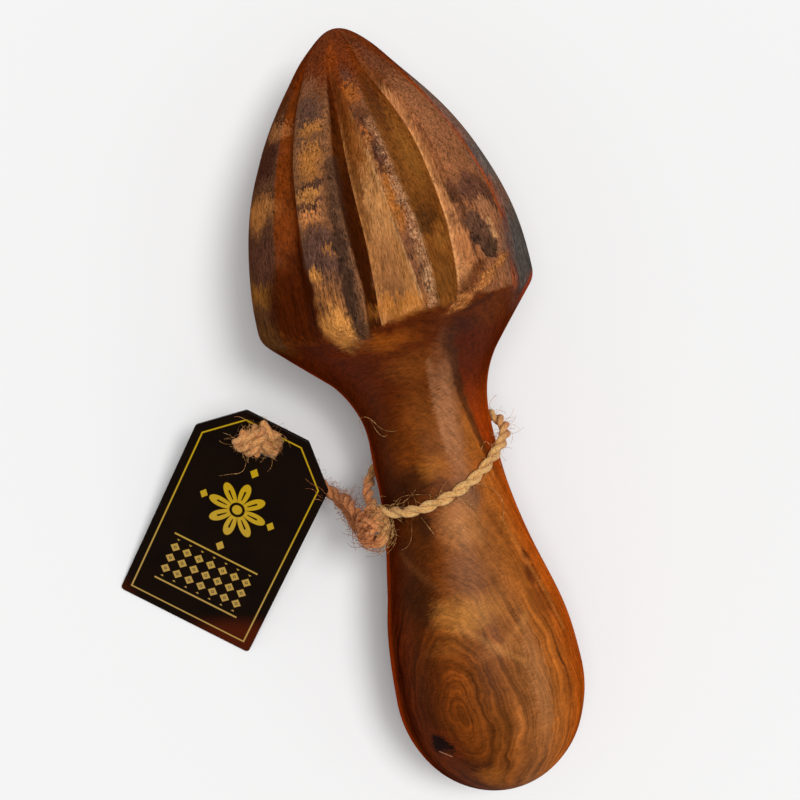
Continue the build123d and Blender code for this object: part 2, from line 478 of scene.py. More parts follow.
def smooth_route(points, steps=10):
    """Points in millimetres along a smooth line that has the given points as its control points."""
    curve = bpy.data.curves.new("route", "CURVE")
    curve.dimensions = "3D"
    spline = curve.splines.new("NURBS")
    spline.points.add(len(points) - 1)
    for knot, point in zip(spline.points, points):
        knot.co = (*point, 1.0)
    spline.order_u = 3
    spline.use_endpoint_u = True
    spline.resolution_u = steps
    holder = bpy.data.objects.new("route", curve)
    bpy.context.collection.objects.link(holder)
    graph = bpy.context.evaluated_depsgraph_get()
    mesh = bpy.data.meshes.new_from_object(holder.evaluated_get(graph))
    places = [tuple(vertex.co) for vertex in mesh.vertices]
    bpy.data.objects.remove(holder)
    return places


def to_world(right, up, along):
    """Points of the table's frame from the reamer's own: right, up and along the axis from the tip."""
    return tip + np.multiply.outer(right, reamer_right) + np.multiply.outer(up, reamer_up) + np.multiply.outer(
        along, reamer_down_axis
    )


def polar(turn, radius, along):
    angle = math.radians(turn)
    return to_world(radius * math.sin(angle), radius * math.cos(angle), along)


# The turned outline
def bezier(a, b, c, d, steps):
    share = np.linspace(0, 1, steps)[:, None]
    a, b, c, d = (np.array(point) for point in (a, b, c, d))
    rest = 1 - share
    return a * rest**3 + 3 * b * rest**2 * share + 3 * c * rest * share**2 + d * share**3


def turned_outline(rows):
    """Even points (along, radius) from tip to butt, and where the waist ends."""
    steps = 200
    sweep = math.radians(nose_sweep)
    fall = math.radians(shoulder_angle)
    nose_angles = np.linspace(0, sweep, steps)
    nose = np.stack([nose_radius * (1 - np.cos(nose_angles)), nose_radius * np.sin(nose_angles)], axis=1)
    start = nose[-1]
    rise = start + head_rise_length * np.array((math.sin(sweep), math.cos(sweep)))
    crown = (head_length, head_radius)
    flank = bezier(start, rise, (head_length - head_crown_length, head_radius), crown, steps)
    rim_angles = np.linspace(0, fall, steps)
    rim = np.stack(
        [head_length + rim_radius * np.sin(rim_angles), head_radius - rim_radius * (1 - np.cos(rim_angles))], axis=1
    )
    blend_r = waist_radius + shoulder_blend_radius * (1 - math.cos(fall))
    blend_z = rim[-1][0] + (rim[-1][1] - blend_r) / math.tan(fall)
    waist_z = blend_z + shoulder_blend_radius * math.sin(fall)
    blend_angles = np.linspace(fall, 0, steps)
    shoulder = np.stack(
        [
            waist_z - shoulder_blend_radius * np.sin(blend_angles),
            waist_radius + shoulder_blend_radius * (1 - np.cos(blend_angles)),
        ],
        axis=1,
    )
    neck_z = waist_z + waist_length
    bulge_z = neck_z + grip_length
    butt_z = bulge_z + butt_length
    grip = bezier(
        (neck_z, waist_radius),
        (neck_z + grip_rise_length, waist_radius),
        (bulge_z - grip_crown_length, grip_radius),
        (bulge_z, grip_radius),
        steps,
    )
    butt = bezier(
        (bulge_z, grip_radius),
        (bulge_z + quarter_round_share * butt_length, grip_radius),
        (butt_z, quarter_round_share * grip_radius),
        (butt_z, 0),
        steps,
    )
    line = np.concatenate([nose, flank, rim, shoulder, grip, butt])
    runs = np.hypot(*np.diff(line, axis=0).T)
    keep = np.concatenate([[True], runs > 1e-9])
    line = line[keep]
    travel = np.concatenate([[0], np.cumsum(np.hypot(*np.diff(line, axis=0).T))])
    head_travel = np.interp(relax_start, line[:, 0], travel)
    even = np.interp(np.linspace(0, 1, rows), (0, head_rows_share, 1), (0, head_travel, travel[-1]))
    return np.interp(even, travel, line[:, 0]), np.interp(even, travel, line[:, 1]), neck_z


def smoother(low, high, value):
    share = np.clip((value - low) / (high - low), 0, 1)
    return share * share * (3 - 2 * share)


# The carved wood
wood_rows = 244
head_rows_share = 0.6
wall_cells = 12
rib_cells = 16
edge_wear = 0.32
valley_round = 0.28
hand_wave = 0.16
relax_start = 62.0
relax_end = 84.0


def station_share(way, column):
    """Width or depth share at a share of a flute's run."""
    ways = [row[0] for row in flute_stations]
    shares = [row[column] for row in flute_stations]
    near = [np.interp(way + shift, ways, shares) for shift in (-0.05, -0.025, 0.0, 0.025, 0.05)]
    return sum(near) / len(near)


def along_table(along, rows, column):
    """A column of a table of stations, smoothly between them."""
    ways = [row[0] for row in rows]
    values = [row[column] for row in rows]
    near = [np.interp(along + shift, ways, values) for shift in (-1.6, -0.8, 0.0, 0.8, 1.6)]
    return sum(near) / len(near)


def flute_lines(along):
    """Left edge, valley and right edge of every flute in degrees, and its depth, at each row."""
    lines = []
    for rows in front_flutes:
        left, valley, right, depth_share = (along_table(along, rows, column) for column in range(1, 5))
        lines.append((left, valley, right, flute_depth * depth_share))
    for tip_left, rim_left, tip_right, rim_right, tip_valley, rim_valley, depth_share, start_share in flute_table:
        start = start_share * head_length
        way = (along - start) / ((flute_end_share - start_share) * head_length)
        rim_way = np.clip((along - start) / (head_length - start), -0.1, 1.15)
        left = tip_left + (rim_left - tip_left) * rim_way
        right = tip_right + (rim_right - tip_right) * rim_way
        valley = left + (right - left) * (tip_valley + (rim_valley - tip_valley) * rim_way)
        width_share = station_share(way, 1)
        depth = flute_depth * depth_share * station_share(way, 2)
        lines.append((valley - (valley - left) * width_share, valley, valley + (right - valley) * width_share, depth))
    return lines


def spread(low, high, cells):
    """Columns between two lines, closer together near both."""
    shares = (1 - np.cos(np.pi * np.arange(cells) / cells)) / 2
    shares = 0.5 * shares + 0.5 * np.arange(cells) / cells
    return low[:, None] + (high - low)[:, None] * shares[None, :]


along_rows, radius_rows, neck_start = turned_outline(wood_rows)


def radius_at(along):
    return float(np.interp(along, along_rows, radius_rows))


def wood_grid():
    """Turn in degrees, radius, and painted shares at every point of the wood."""
    lines = flute_lines(along_rows)
    columns = []
    for index, (left, valley, right, depth) in enumerate(lines):
        following = lines[(index + 1) % len(lines)][0] + (360 if index + 1 == len(lines) else 0)
        columns += [spread(left, valley, wall_cells), spread(valley, right, wall_cells)]
        columns.append(spread(right, following, rib_cells))
    turn = np.concatenate(columns, axis=1)
    even = turn[0, 0] + 360 * np.arange(turn.shape[1]) / turn.shape[1]
    relax = smoother(relax_start, relax_end, along_rows)[:, None]
    turn = turn * (1 - relax) + even[None, :] * relax

    arc = np.maximum(radius_rows, 2.0)[:, None] * math.pi / 180
    carve = np.zeros_like(turn)
    wall = np.zeros_like(turn)
    for left, valley, right, depth in lines:
        offset = (turn - valley[:, None] + 180) % 360 - 180
        width = np.where(offset < 0, (valley - left)[:, None], (right - valley)[:, None])
        reach = np.radians(np.sqrt(offset**2 + (valley_round / arc) ** 2) - valley_round / arc)
        span = np.radians(width)
        low = radius_rows[:, None] - depth[:, None]
        high = np.maximum(radius_rows, 0.01)[:, None]
        held = np.minimum(reach, 1.3 * span)
        flat = low * high * np.sin(span) / (low * np.sin(held) + high * np.sin(span - held))
        raw = high - flat - (reach - held) * high * 0.5
        slope = depth[:, None] / (width * arc)
        cut = 0.5 * (raw + np.sqrt(raw**2 + (slope * edge_wear) ** 2))
        cut = np.where(depth[:, None] > 0.02, cut, 0) * smoother(0.0, 0.3, depth)[:, None]
        carve = np.maximum(carve, cut)
        inside = smoother(-0.25, 0.3, (np.abs(width) - np.abs(offset)) * arc)
        side = np.where(offset < 0, -1.0, 1.0) * inside * smoother(0.05, 0.6, depth)[:, None]
        wall = np.where(np.abs(side) > np.abs(wall), side, wall)
    return turn, carve, wall


# Worn bands beside the flutes' edges: flute, column of the edge in its table, from and to a distance from
# the tip, how far the band's middle lies to the right, and its half width
worn_bands = [
    (2, 1, 19.0, 57.0, -0.8, 1.2),
    (1, 1, 9.0, 58.0, -1.1, 1.0),
]
# Painted highlights: thin pale lines along edges and valleys, where they catch the light: flute, column, from and to
highlight_lines = [
    (1, 3, 22.0, 56.0),
    (2, 2, 20.0, 55.0),
]


def edge_distance(turn, along, flute, column):
    """How far each point lies to the right of a flute's line, in millimetres."""
    line = along_table(along_rows, front_flutes[flute], column)[:, None]
    arc = np.maximum(radius_rows, 2.0)[:, None] * math.pi / 180
    return ((turn - line + 180) % 360 - 180) * arc


def worn_shares(turn, along):
    """Worn bands, and the distance to the nearest painted highlight line."""
    crest = np.zeros_like(turn)
    for flute, column, first, last, aside, half_width in worn_bands:
        offset = (edge_distance(turn, along, flute, column) - aside) / half_width
        inside = smoother(first - 2, first + 3, along) * smoother(last + 1, last - 3, along)
        crest = np.maximum(crest, smoother(1.25, 0.5, np.abs(offset)) * inside)
    ridge = np.full_like(turn, 3.0)
    for flute, column, first, last in highlight_lines:
        offset = np.abs(edge_distance(turn, along, flute, column))
        outside = 3 * (1 - smoother(first - 2, first + 3, along) * smoother(last + 2, last - 3, along))
        ridge = np.minimum(ridge, offset + outside)
    return crest, ridge


def hand_waves(turn, along):
    """Slow unevenness of hand work, whole over a full turn."""
    angle = np.radians(turn)
    wave = np.sin(3 * angle + along / 9.0) + 0.7 * np.sin(5 * angle - along / 6.1 + 1.3)
    wave = wave + 0.5 * np.sin(9 * angle + along / 4.3 + 2.1) + 0.35 * np.sin(14 * angle - along / 3.1)
    return hand_wave * wave / 1.6


# Base colours of the head's wood, round from the groove left of the top: the flute's left and right wall,
# and the rib to the right of it. The walls carry painted light and shade: most left walls are painted
# darker, as shade, and most right walls lighter, as lit
head_colours_and_painted_light = [
    ((108, 48, 11), (104, 44, 10), (124, 80, 50)),
    ((56, 22, 4), (174, 114, 62), (122, 74, 46)),
    ((114, 64, 22), (182, 121, 74), (138, 85, 52)),
    ((158, 68, 16), (126, 52, 14), (104, 80, 66)),
    ((92, 40, 12), (120, 62, 22), (112, 66, 36)),
    ((74, 32, 10), (126, 72, 32), (124, 78, 42)),
    ((84, 38, 14), (118, 66, 30), (106, 62, 34)),
    ((70, 28, 8), (128, 74, 34), (130, 82, 46)),
    ((92, 42, 14), (106, 54, 20), (116, 68, 34)),
    ((104, 40, 9), (112, 44, 10), (84, 52, 34)),
]


def head_colour(turn, along, lines):
    """Colour of the rib or flute wall that each point belongs to, with painted shade on most left walls and painted
    light on most right walls.
    """
    colour = np.zeros(turn.shape + (3,))
    for index, (left, valley, right, depth) in enumerate(lines):
        left_wall, right_wall, rib = (np.array(linear(*shade)[:3]) for shade in head_colours_and_painted_light[index])
        following = lines[(index + 1) % len(lines)][0] + (360 if index + 1 == len(lines) else 0)
        for low, high, shade in ((left, valley, left_wall), (valley, right, right_wall), (right, following, rib)):
            span = (high - low)[:, None]
            inside = (turn - low[:, None]) % 360 < span
            colour[inside] = shade
    return colour


def rib_hollow(turn, along):
    """Bark pocket on the broad rib right of the top: how far the wood falls away, and its ragged lip."""
    offset = (turn + 180) % 360 - 180
    ragged = np.sin(along * 1.9) + 0.7 * np.sin(along * 4.3 + 1.0)
    reach = np.hypot((offset - 44.5 - ragged * 0.8 - (along - 45) * 0.5) / 6.4, (along - 45.0) / 5.0)
    lip_line = 48 - (along - 50.5) * 4.0 + 1.5 * ragged
    lip = np.exp(-(((offset - lip_line) / 4.2) ** 2)) * smoother(48.6, 50.6, along) * smoother(58.6, 56.6, along)
    return smoother(1.12, 0.84, reach), lip


def carved_wood(material):
    turn, carve, wall = wood_grid()
    along = np.repeat(along_rows[:, None], turn.shape[1], axis=1)
    radius = np.repeat(radius_rows[:, None], turn.shape[1], axis=1)
    ends = smoother(0, 8, along) * smoother(along_rows[-1], along_rows[-1] - 10, along)
    hollow, lip = rib_hollow(turn, along)
    rough = 0.12 * np.sin(turn * 2.9 + along * 3.7) + 0.1 * np.sin(turn * 5.1 - along * 2.3)
    base = head_colour(turn, along, flute_lines(along_rows))
    crest, ridge = worn_shares(turn, along)
    border = np.interp((turn + 180) % 360 - 180, *zip(*head_border)) - along
    angle = np.radians(turn)
    radius = radius - carve + hand_waves(turn, along) * ends - (1.0 + rough) * hollow + (0.35 + 2 * rough) * lip
    radius = radius - np.interp(along, *zip(*left_side_inset)) * np.maximum(-np.sin(angle), 0) ** 3
    radius = radius + 0.5 * np.exp(-(((along - 4) / 4) ** 2)) * smoother(0, 2, along)
    aside = 0.8 * np.exp(-((along / 7) ** 2))
    grid = to_world(radius * np.sin(angle) + aside, radius * np.cos(angle), along)
    rows, width = turn.shape
    points = [to_world(aside[0, 0], 0.0, 0.0)]
    points += list(grid[1:-1].reshape(-1, 3))
    points.append(to_world(0.0, 0.0, along_rows[-1]))
    faces = []
    for column in range(width):
        beside = (column + 1) % width
        faces.append((0, 1 + beside, 1 + column))
        for row in range(rows - 3):
            first = 1 + row * width
            second = first + width
            faces.append((first + column, first + beside, second + beside, second + column))
        last = 1 + (rows - 3) * width
        faces.append((last + column, last + beside, len(points) - 1))
    made = mesh_object("carved_reamer", points, faces, material)
    fields = {"wall": wall, "crest": crest, "ridge": ridge, "border": border, "hollow": hollow, "lip": lip}
    for name, field in fields.items():
        values = np.concatenate([field[0, :1], field[1:-1].ravel(), field[-1, :1]])
        made.data.attributes.new(name, "FLOAT", "POINT").data.foreach_set("value", values.astype(np.float32))
    shades = np.concatenate([base[0, :1], base[1:-1].reshape(-1, 3), base[-1, :1]])
    shades = np.concatenate([shades, np.ones((len(shades), 1))], axis=1)
    made.data.attributes.new("base", "FLOAT_COLOR", "POINT").data.foreach_set("color", shades.ravel().astype(np.float32))
    return made


# Patches of the wood's colour: distance from the tip, turn, half length, half width in degrees,
# colour, strength, and softness of the edge
wood_patches = [
    # Tip
    (3.0, 0, 9.0, 200, (102, 38, 4), 0.85, 0.45),
    (3.8, 33, 1.6, 12, (78, 36, 14), 0.7, 0.5),
    (7.4, 40, 2.2, 9, (104, 58, 38), 0.7, 0.5),
    (6.4, -8, 2.6, 8, (142, 62, 12), 0.6, 0.6),
    (10.4, 4, 1.8, 5, (92, 56, 40), 0.8, 0.4),
    (12.0, -12, 3.0, 3, (60, 26, 8), 0.6, 0.6),
    # Rib on the left
    (12.0, -66, 2.4, 12, (92, 46, 20), 0.7, 0.5),
    (16.8, -64, 1.5, 12, (168, 106, 60), 0.75, 0.5),
    (22.0, -65, 3.6, 12, (72, 38, 27), 0.9, 0.4),
    (26.6, -66, 1.3, 12, (112, 70, 48), 0.6, 0.5),
    (31.8, -66, 2.9, 14, (184, 116, 58), 0.8, 0.5),
    (39.6, -65, 4.0, 14, (88, 52, 38), 0.85, 0.4),
    (46.6, -66, 2.4, 14, (150, 94, 38), 0.75, 0.5),
    (54.5, -66, 4.0, 14, (96, 58, 24), 0.75, 0.5),
    # Groove on the left
    (34.0, -43, 2.4, 5, (124, 56, 14), 0.5, 0.6),
    (41.0, -42, 2.2, 5, (66, 24, 4), 0.7, 0.5),
    (50.0, -45, 9.0, 15, (60, 19, 2), 0.92, 0.4),
    # Rib left of the top
    (14.8, -31, 2.6, 12, (88, 60, 48), 0.85, 0.4),
    (10.5, -34, 2.0, 9, (142, 92, 62), 0.6, 0.6),
    (18.0, -27, 1.5, 9, (176, 112, 54), 0.8, 0.4),
    (20.6, -31, 0.7, 8, (92, 62, 48), 0.8, 0.5),
    (24.0, -27, 2.6, 7, (172, 108, 48), 0.8, 0.5),
    (27.6, -27, 0.8, 8, (76, 50, 38), 0.95, 0.4),
    (30.0, -29, 1.5, 7, (188, 124, 62), 0.85, 0.4),
    (32.5, -28, 0.7, 9, (80, 50, 36), 0.95, 0.4),
    (34.4, -29, 1.1, 7, (196, 124, 68), 0.8, 0.4),
    (41.0, -26, 5.0, 10, (86, 58, 48), 0.9, 0.35),
    (40.8, -22, 1.1, 2.4, (168, 108, 56), 0.8, 0.4),
    (45.0, -30, 1.8, 2.8, (190, 124, 60), 0.85, 0.45),
    (50.5, -27, 3.0, 6, (150, 94, 50), 0.8, 0.5),
    (55.4, -25, 4.0, 8, (206, 136, 66), 0.85, 0.5),
    (47.0, -17.5, 12.0, 2.6, (62, 40, 28), 0.9, 0.4),
    # Groove at the top: its pale right wall is painted light, and the bright band at its lower end is a
    # painted highlight where the run-out catches the light
    (14.0, -6, 6.0, 7, (112, 48, 12), 0.85, 0.45),
    (22.0, -3, 6.0, 5, (148, 78, 26), 0.75, 0.5),
    (22.0, -12, 5.0, 3, (104, 50, 14), 0.5, 0.6),
    (36.0, 0, 7.0, 5, (214, 148, 88), 0.65, 0.6),
    (27.0, -6, 12.0, 2.4, (104, 54, 16), 0.7, 0.6),
    (47.0, -1, 7.0, 5, (158, 100, 60), 0.5, 0.6),
    (54.0, 0, 1.7, 11, (168, 102, 40), 0.8, 0.7),
    (50.6, -1, 1.8, 6, (122, 78, 46), 0.6, 0.6),
    # Rib right of it
    (13.5, 4, 2.0, 6, (170, 92, 30), 0.6, 0.5),
    (19.0, 6, 2.2, 3, (86, 48, 30), 0.75, 0.4),
    (26.0, 8, 3.6, 3.2, (74, 40, 30), 0.95, 0.3),
    (21.8, 5, 0.6, 3, (170, 94, 40), 0.7, 0.4),
    (35.0, 8.5, 6.5, 2.4, (160, 92, 32), 0.8, 0.5),
    (48.0, 12.5, 6.5, 2.6, (116, 70, 34), 0.6, 0.5),
    # Broad groove
    (13.0, 24, 3.4, 12, (96, 44, 10), 0.85, 0.4),
    (17.0, 19, 5.0, 6, (88, 46, 18), 0.8, 0.5),
    (27.0, 28, 6.0, 7, (142, 88, 34), 0.6, 0.7),
    (33.0, 17, 6.0, 3, (108, 62, 22), 0.6, 0.6),
    (38.6, 22, 1.3, 6, (74, 40, 14), 0.9, 0.4),
    (40.0, 19, 2.4, 3, (84, 48, 18), 0.8, 0.5),
    (44.0, 26, 2.4, 4, (148, 92, 36), 0.6, 0.5),
    (51.0, 22, 4.0, 6, (112, 66, 24), 0.6, 0.5),
    # Rib right of the broad groove
    (9.0, 46, 3.0, 16, (112, 64, 38), 0.7, 0.5),
    (20.0, 50, 7.0, 11, (150, 94, 60), 0.5, 0.7),
    (36.4, 49, 3.2, 11, (92, 56, 42), 0.9, 0.35),
    (40.0, 37.5, 5.0, 2.2, (72, 44, 28), 0.8, 0.5),
    (40.2, 52, 1.9, 5.5, (150, 98, 64), 0.9, 0.3),
    (38.2, 57, 2.4, 2.5, (76, 46, 34), 0.8, 0.5),
    (48.5, 35, 5.0, 2.6, (168, 104, 60), 0.8, 0.5),
    # Weathered rib on the right
    (23.0, 74, 5.0, 12, (122, 88, 74), 0.7, 0.6),
    (31.0, 72, 4.0, 12, (92, 84, 78), 0.8, 0.5),
    (38.6, 74, 3.0, 12, (118, 82, 66), 0.75, 0.5),
    (50.5, 72, 8.5, 18, (74, 70, 66), 0.85, 0.5),
    (57.6, 84, 2.2, 16, (160, 52, 8), 0.85, 0.5),
    # Shoulder
    (61.8, 27, 3.2, 9, (58, 25, 16), 0.85, 0.4),
    (60.0, -8, 1.6, 12, (150, 76, 18), 0.6, 0.6),
    (66.0, 2, 3.0, 16, (138, 74, 24), 0.5, 0.7),
    (64.0, -45, 4.0, 22, (82, 26, 3), 0.7, 0.6),
    # Neck
    (76.0, 0, 7.0, 14, (124, 66, 22), 0.5, 0.8),
    (88.5, -22, 3.4, 17, (58, 26, 7), 0.85, 0.6),
    (91.0, -45, 5.0, 18, (50, 20, 5), 0.8, 0.6),
    (86.4, -2, 2.4, 12, (150, 86, 26), 0.7, 0.6),
    # Painted sheen: the pale band where the light catches the neck's oil
    (78.0, 21, 12.0, 9, (158, 104, 68), 0.8, 0.7),
    (93.5, 21, 4.0, 11, (112, 76, 56), 0.75, 0.6),
    (97.2, -22, 2.6, 6, (34, 16, 5), 0.85, 0.6),
    # Grip
    (98.5, 8, 4.5, 15, (180, 116, 62), 0.75, 0.7),
    (101.0, -30, 5.0, 16, (70, 32, 8), 0.7, 0.7),
    (110.0, -36, 5.5, 16, (54, 24, 6), 0.85, 0.6),
    (108.0, 2, 4.5, 13, (128, 80, 48), 0.7, 0.7),
    (115.0, -3, 3.4, 19, (186, 120, 54), 0.7, 0.7),
    (121.0, -18, 1.6, 14, (150, 88, 34), 0.35, 0.8),
    (123.5, 13, 1.2, 12, (176, 112, 58), 0.35, 0.8),
    (107.0, 54, 1.5, 4, (78, 30, 8), 0.85, 0.5),
    (112.0, 52, 2.4, 6, (84, 34, 8), 0.8, 0.5),
    (118.0, 52, 2.6, 9, (104, 46, 10), 0.6, 0.6),
    (131.0, 30, 12.0, 6, (158, 102, 58), 0.7, 0.6),
    (128.0, -34, 7.0, 10, (84, 36, 7), 0.6, 0.7),
    (149.0, -14, 2.6, 12, (150, 84, 24), 0.7, 0.6),
    (141.0, -41, 4.6, 14, (92, 34, 6), 0.8, 0.5),
    (140.6, -41, 2.4, 8.0, (26, 8, 4), 1.0, 0.3),
]
# Narrow streaks: from a distance and turn to another, half width, colour, strength, and softness
wood_streaks = [
    (25.0, -16.0, 58.0, -16.5, 0.9, (66, 44, 32), 0.75, 0.6),
    # Painted shadow: a dark band in the groove beside the torn lip
    (50.0, 37.5, 54.6, 27.0, 0.8, (84, 38, 12), 0.8, 0.8),
    (56.3, 40.0, 57.6, 28.0, 0.6, (56, 24, 10), 0.6, 0.8),
    (42.5, 50.0, 46.0, 50.5, 0.45, (196, 140, 92), 0.75, 0.6),
    (46.0, 50.5, 48.6, 47.0, 0.45, (190, 136, 86), 0.75, 0.6),
    (16.0, 39.5, 33.0, 37.5, 0.6, (160, 96, 54), 0.4, 0.8),
    (22.0, 39.0, 36.0, 37.6, 0.22, (92, 50, 30), 0.6, 0.7),
    (36.0, 37.6, 50.0, 37.0, 0.22, (86, 46, 28), 0.5, 0.7),
    (12.0, 64.0, 46.0, 60.5, 0.5, (158, 64, 13), 0.7, 0.6),
    (22.0, 4.6, 40.0, 7.4, 0.4, (184, 122, 66), 0.35, 0.8),
    (102.0, -50.0, 112.0, -8.0, 0.8, (120, 70, 32), 0.25, 0.95),
    (117.0, -10.0, 127.0, 24.0, 0.7, (190, 124, 62), 0.4, 0.95),
    (122.0, 16.0, 118.5, 34.0, 0.7, (186, 120, 62), 0.35, 0.95),
    (98.0, 36.0, 121.0, 56.0, 0.9, (92, 44, 14), 0.4, 0.95),
    (100.0, 46.0, 124.0, 64.0, 0.6, (188, 112, 48), 0.4, 0.9),
    (141.4, -45.0, 142.6, -37.0, 0.14, (206, 150, 112), 0.55, 0.6),
    (66.0, 10.0, 84.0, 14.0, 0.7, (164, 110, 72), 0.4, 0.8),
]
# Where the rings of the grip's figure are centred: a knot's place along the axis, and round it
figure_along = 134.0
figure_turn = -20.0
figure_stretch = 0.5
grip_degree = 0.33
# Colour of the wood below the head, by turn; on the side that shows it carries painted light and shade,
# darker towards the left and lighter towards the right, where the light falls
grip_colours_and_painted_light = [
    (-180, (96, 44, 14)),
    (-125, (104, 40, 9)),
    (-88, (98, 38, 9)),
    (-62, (72, 22, 3)),
    (-42, (78, 32, 6)),
    (-18, (106, 50, 10)),
    (2, (118, 62, 19)),
    (22, (140, 82, 38)),
    (44, (158, 86, 28)),
    (64, (164, 76, 17)),
    (90, (176, 74, 16)),
    (112, (130, 60, 18)),
    (180, (96, 44, 14)),
]
# Tone of the rings round the knot, by distance from its middle in millimetres
ring_tones = [
    (0.0, 1.25),
    (4.0, 1.3),
    (6.4, 0.7),
    (8.4, 0.78),
    (10.4, 1.25),
    (12.4, 1.1),
    (14.6, 0.84),
    (19.0, 1.0),
]
ring_reach = 20.0


def wood_finish():
    finish = Finish("oiled_wood")
    where = finish.place() - tuple(tip)
    right = where.dot(tuple(reamer_right))
    up = where.dot(tuple(reamer_up))
    along = where.dot(tuple(reamer_down_axis))
    turn = finish.node("ShaderNodeMath", {"operation": "ARCTAN2"}, {0: right, 1: up}) * (180 / math.pi)
    spot = finish.bundle(right, up, along)
    wall = finish.attribute("wall")
    crest = finish.attribute("crest")
    ridge = finish.attribute("ridge")
    border = finish.attribute("border")
    hollow = finish.attribute("hollow")
    lip = finish.attribute("lip")

    # Rings round the grip's knot, and straight fibres along the head
    coarse = finish.noise(spot, 0.12, 2, 0.5) - 0.5
    medium = finish.noise(spot, 0.42, 3, 0.6) - 0.5
    speck = finish.noise(spot, 3.2, 3, 0.75)
    head = (border + medium * 3.0 + (speck - 0.5) * 1.2).over(-0.45, 0.55)
    ring_x = (turn - figure_turn) * grip_degree + coarse * 6.0
    ring_y = (along - figure_along) * figure_stretch + medium * 1.1
    ring = (ring_x * ring_x + ring_y * ring_y + 4.0).root()
    ring_line = finish.noise(finish.bundle(ring * 3.4, ring_x * 0.2, ring_y * 0.2), 1.0, 3, 0.7)
    ring_band = finish.noise(finish.bundle(ring * 0.34, right * 0.05, along * 0.05), 1.0, 2, 0.5)
    cloud = finish.noise(spot, 0.16, 4, 0.6)
    drawn = finish.bundle(right, up, along * 0.085)
    straight = finish.noise(drawn, 2.1, 5, 0.66, 0.3)
    pores = finish.noise(finish.bundle(right, up, along * 0.4), 3.4, 3, 0.8)
    fine = finish.noise(finish.bundle(right, up, along * 0.13), 5.4, 3, 0.75)
    crosswise = finish.noise(finish.bundle(right * 0.2, up * 0.2, along + right * 0.12), 4.2, 4, 0.75, 0.3)
    arcs = finish.noise(finish.bundle(ring * 1.15, ring_x * 0.05, ring_y * 0.05), 1.0, 2, 0.6)

    # Base colours
    # The head's colours, which carry the walls' painted light and shade
    base = finish.node("ShaderNodeAttribute", {"attribute_name": "base"}, None, 0, Arrow)
    # The grip's colours by turn, with their painted light and shade
    stops = [((shade_turn + 180) / 360, linear(*shade)) for shade_turn, shade in grip_colours_and_painted_light]
    below = finish.ramp(turn / 360 + 0.5, stops)
    below = below * (ring_band * 1.1 + cloud * 0.8 + 0.05)
    arc_zone = along.over(106, 118) * along.under(149, 154)
    below = below * ((arcs - 0.5) * arc_zone * 2.3 + 1.0)
    tones = [(reach / ring_reach, (tone, tone, tone, 1.0)) for reach, tone in ring_tones]
    ringed = along.over(118, 128) * along.under(146, 154)
    below = finish.blend(ringed * 0.9, below, below * finish.ramp(ring / ring_reach, tones))
    shoulder = along.under(69, 82)
    below = finish.blend(shoulder * 0.88, below, linear(80, 27, 3))
    colour = finish.blend(head, below, base * (cloud * 0.9 + 0.6))

    # Patches, with edges torn by the grain
    drift = (straight - 0.5) * head * 9.0
    smear = (crosswise - 0.5) * (1 - head) * 14.0
    torn = finish.bundle(
        medium * 9.0 + (speck - 0.5) * 3.0 + smear, coarse * 5.0 + medium * 3.4 + (speck - 0.5) * 1.4 + drift, 0.0
    )
    spread_map = finish.bundle(turn, along, 0.0) + torn
    for along_at, turn_at, half_length, half_width, shade, strength, soft in wood_patches:
        offset = (spread_map - (turn_at, along_at, 0.0)) * (1 / half_width, 1 / half_length, 0.0)
        reach = offset.length()
        colour = finish.blend(reach.under(1 - soft, 1 + soft) * strength, colour, linear(*shade))
    flat_map = finish.bundle(turn * grip_degree, along, 0.0) + torn * 0.1
    for first_along, first_turn, last_along, last_turn, half_width, shade, strength, soft in wood_streaks:
        first = Vector((first_turn * grip_degree, first_along, 0.0))
        run = Vector((last_turn * grip_degree, last_along, 0.0)) - first
        offset = flat_map - tuple(first)
        share = offset.dot(tuple(run / run.length_squared)).at_least(0.0).at_most(1.0)
        reach = (offset - finish.bundle(share * run.x, share * run.y, 0.0)).length() / half_width
        colour = finish.blend(reach.under(1 - soft, 1 + soft) * strength, colour, linear(*shade))

    # Bark line down the right of the neck, with redder wood beyond it
    line = turn - ((along - 62.0) * 1.38 + 22.0) + medium * 8.0
    neck = along.over(60, 64) * along.under(86, 96)
    redder = finish.blend(along.over(68, 82), linear(84, 27, 5), linear(138, 46, 6))
    colour = finish.blend(line.over(-2, 3) * neck * 0.85, colour, redder)
    colour = finish.blend(abs(line + 2.5).under(1.5, 5.5) * neck * 0.75, colour, linear(60, 27, 10))

    # Saturated sides: the deep red-orange that the flanks show at a grazing view, partly the wood's own colour
    # and partly painted light, brighter on the right where the light falls
    left_rim = (turn * -1 + medium * 5.0).over(68, 78) * (turn * -1 + medium * 8.0).under(84, 96)
    right_rim = (turn + medium * 6.0).over(70, 84) * (turn + medium * 8.0).under(84, 100)
    head_rim = (turn * -1 + medium * 3.0).over(78, 82) * (turn * -1 + medium * 8.0).under(86, 98)
    grip = along.over(60, 66)
    colour = finish.blend(left_rim * grip * 0.85, colour, linear(152, 50, 7))
    colour = finish.blend(right_rim * grip * 0.7, colour, linear(176, 76, 16))
    colour = finish.blend(head_rim * (1 - grip) * 0.8, colour, linear(140, 48, 10))
